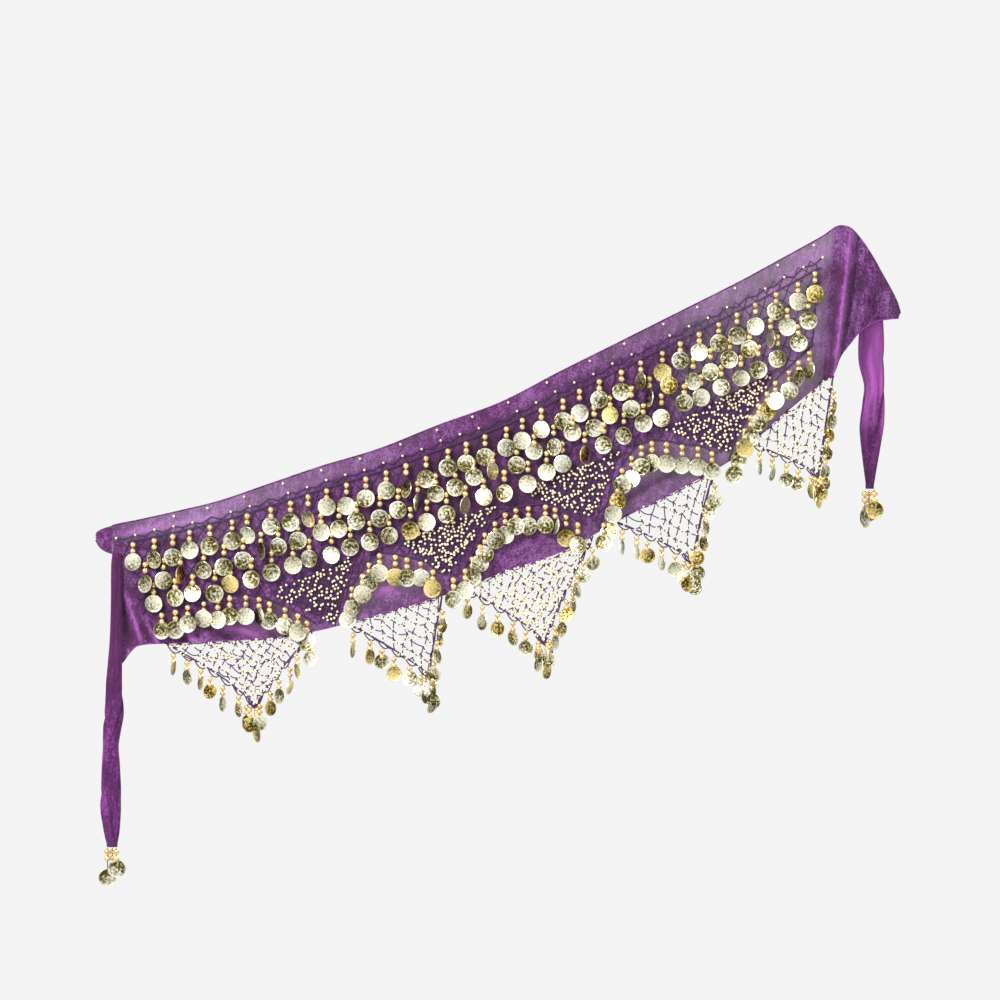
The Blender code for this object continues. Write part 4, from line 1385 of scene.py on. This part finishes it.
class SCARF_OT_grounds(bpy.types.Operator):
    """Build the beaded crochet triangles that lie on the cloth"""
    bl_idname = "scarf.grounds"
    bl_label = "Beaded triangles"

    def execute(self, context):
        radius = context.scene.scarf_thread.radius / MM
        size = context.scene.scarf_drops.seed / MM / 2
        chance = np.random.default_rng(23)
        threads, seeds = [], []
        for *corners, cells in GROUNDS:
            starts, ends = net_edges(self.levels(*np.array(corners, float), cells))
            line = strands(starts, ends, chance.uniform(*GROUND_SLACK, len(starts)))
            line = on_cloth(line[..., [0, 2]], LACE_OUT)
            threads.append(tubes(line, radius, 4))
            some = line[chance.random(len(line)) < GROUND_BEADED, 3]
            aside = chance.uniform(-GROUND_SEED_JITTER, GROUND_SEED_JITTER, some.shape)
            seeds.append(some + aside * (1, 0, 1))
        piece("ground_threads", joined(threads), "crochet thread")
        places = on_cloth(np.vstack(seeds)[:, [0, 2]], 1.0 + size)
        small_balls("ground_seeds", places, size * 0.9, "seed bead")
        return {"FINISHED"}

    @staticmethod
    def levels(left, right, low, cells):
        """A triangle's knots, a line for each level: a row along the top that narrows to the low corner."""
        found = []
        for level in range(cells + 1):
            share = np.linspace(0, 1, cells - level + 1)[:, None] if level < cells else np.array([[0.5]])
            top = left + (right - left) * share
            found.append(np.insert(top + (low - top) * level / cells, 1, 0, axis=1))
        return found


class SCARF_OT_drops(bpy.types.Operator):
    """Build the coins, round beads and threads of every drop"""
    bl_idname = "scarf.drops"
    bl_label = "Coin drops"

    def execute(self, context):
        rows, scallops, nets = LAYOUT
        chance = np.random.default_rng(3)
        for group, sources in (("rows", rows), ("scallops", scallops)):
            nodes = [name for name, _, _ in sources]
            drops = np.vstack([some for _, _, some in sources])
            _, z, hang_x, length = drops.T
            depths = cloth_y(hang_x, z - BEADS_BELOW) - BEAD_OUT - BEAD_ROOM
            behind = [cloth_y(hang_x, z - length + shift) for shift in (-COIN_REACH, 0, COIN_REACH)]
            turns = self.coin_turns(group, len(drops), chance)
            in_turn = STAND_OFF - COIN_IN * (np.arange(len(drops)) % 2)
            stand = np.maximum(in_turn, COIN_SWEEP * np.abs(np.sin(turns)) + COIN_ROOM)
            drop_pieces(group, drops, depths, np.min(behind, axis=0) - stand, turns, nodes, chance)
        nodes = [f"{name}_drops" for name, _, _, _ in nets]
        drops = np.vstack([some for _, _, _, some in nets])
        y = hem_at(drops[:, 0])[0]
        turns = self.coin_turns("nets", len(drops), chance)
        drop_pieces("nets", drops, y - NET_BEAD_OUT * 0.6, y - NET_STAND_OFF, turns, nodes, chance)
        self.tassels(chance)
        return {"FINISHED"}

    @staticmethod
    def coin_turns(group, count, chance):
        """Turn of each coin about its thread: most face the front, a share hangs nearly edge on."""
        degrees, edge_on = DROP_GROUPS[group][:2]
        facing = chance.normal(0, degrees, count)
        side = chance.choice([-1, 1], count) * chance.uniform(*EDGE_ON_TURN, count)
        return np.radians(np.where(chance.random(count) < edge_on, side, facing))

    @classmethod
    def tassels(cls, chance):
        """Three drops under the last section of each tie."""
        drops, depths = [], []
        for table, middle in zip((TIE_LEFT, TIE_RIGHT), tie_middles()):
            z, left, right, _ = table[-1]
            for across, deep, length in TASSEL_DROPS:
                x = (left + right) / 2 + across
                drops.append((x, z - SEAM_GAP - CORD_HALF, x, length))
                depths.append(middle + deep)
        drops, depths = np.array(drops), np.array(depths)
        turns = cls.coin_turns("tassels", len(drops), chance)
        drop_pieces("tassels", drops, depths, depths, turns, ["tassel_left", "tassel_right"], chance)


class SCARF_OT_stage(bpy.types.Operator):
    """Add the pale floor, the soft lights and the camera"""
    bl_idname = "scarf.stage"
    bl_label = "Stage"

    def execute(self, context):
        scene = context.scene
        disc = turned([FLOOR_RADIUS], [0.0], FLOOR_SIDES) + FLOOR_MIDDLE, np.arange(FLOOR_SIDES)[None, :]
        paint = start_material("floor", FLOOR_FINISH)[0]
        new_mesh("floor", disc, paint, smooth=False)
        world = bpy.data.worlds.new("studio")
        world.use_nodes = True
        background = world.node_tree.nodes["Background"].inputs
        background["Color"].default_value = (1.0, 1.0, 1.0, 1.0)
        background["Strength"].default_value = WORLD_STRENGTH
        scene.world = world
        scene.view_settings.view_transform = "Standard"
        for name, place, energy, size in LAMPS:
            light = bpy.data.lights.new(name, "AREA")
            light.energy, light.size = energy, size
            lamp = bpy.data.objects.new(name, light)
            lamp.location = place
            aim = Vector(LAMP_TARGET) - Vector(place)
            lamp.rotation_euler = aim.to_track_quat("-Z", "Y").to_euler()
            scene.collection.objects.link(lamp)
        camera = bpy.data.cameras.new("camera")
        camera.lens = HALF_SENSOR * -CAMERA_PLACE[1] / HALF_VIEW
        camera.clip_end = 50.0
        eye = bpy.data.objects.new("camera", camera)
        eye.location = CAMERA_PLACE
        eye.rotation_euler = (math.pi / 2, 0.0, 0.0)
        scene.collection.objects.link(eye)
        scene.camera = eye
        return {"FINISHED"}


OPERATORS = (SCARF_OT_band, SCARF_OT_ties, SCARF_OT_cords, SCARF_OT_nets, SCARF_OT_grounds,
             SCARF_OT_drops, SCARF_OT_stage)


class SCARF_PT_panel(bpy.types.Panel):
    """Sizes and steps of the hip scarf"""
    bl_idname = "SCARF_PT_panel"
    bl_label = "Hip Scarf"
    bl_space_type = "VIEW_3D"
    bl_region_type = "UI"
    bl_category = "Hip Scarf"

    def draw(self, context):
        for group in (context.scene.scarf_cloth, context.scene.scarf_thread, context.scene.scarf_drops):
            for key in group.__annotations__:
                self.layout.prop(group, key)
        for step in OPERATORS:
            self.layout.operator(step.bl_idname)


GROUPS = (("scarf_cloth", ScarfCloth), ("scarf_thread", ScarfThread), ("scarf_drops", ScarfDrops))


def register():
    """Add the settings to the scene, and the operators and the panel to Blender."""
    for name, group in GROUPS:
        bpy.utils.register_class(group)
        setattr(bpy.types.Scene, name, bpy.props.PointerProperty(type=group))
    for made in (*OPERATORS, SCARF_PT_panel):
        bpy.utils.register_class(made)


def unregister():
    """Take away what register added."""
    for made in (*OPERATORS, SCARF_PT_panel):
        bpy.utils.unregister_class(made)
    for name, group in GROUPS:
        delattr(bpy.types.Scene, name)
        bpy.utils.unregister_class(group)


def write_sizes():
    """Brings the view layer up to date."""
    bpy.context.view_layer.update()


def main():
    """Build every piece in order."""
    register()
    for step in OPERATORS:
        getattr(bpy.ops.scarf, step.bl_idname.split(".")[1])()
    write_sizes()


if __name__ == "__main__":
    main()
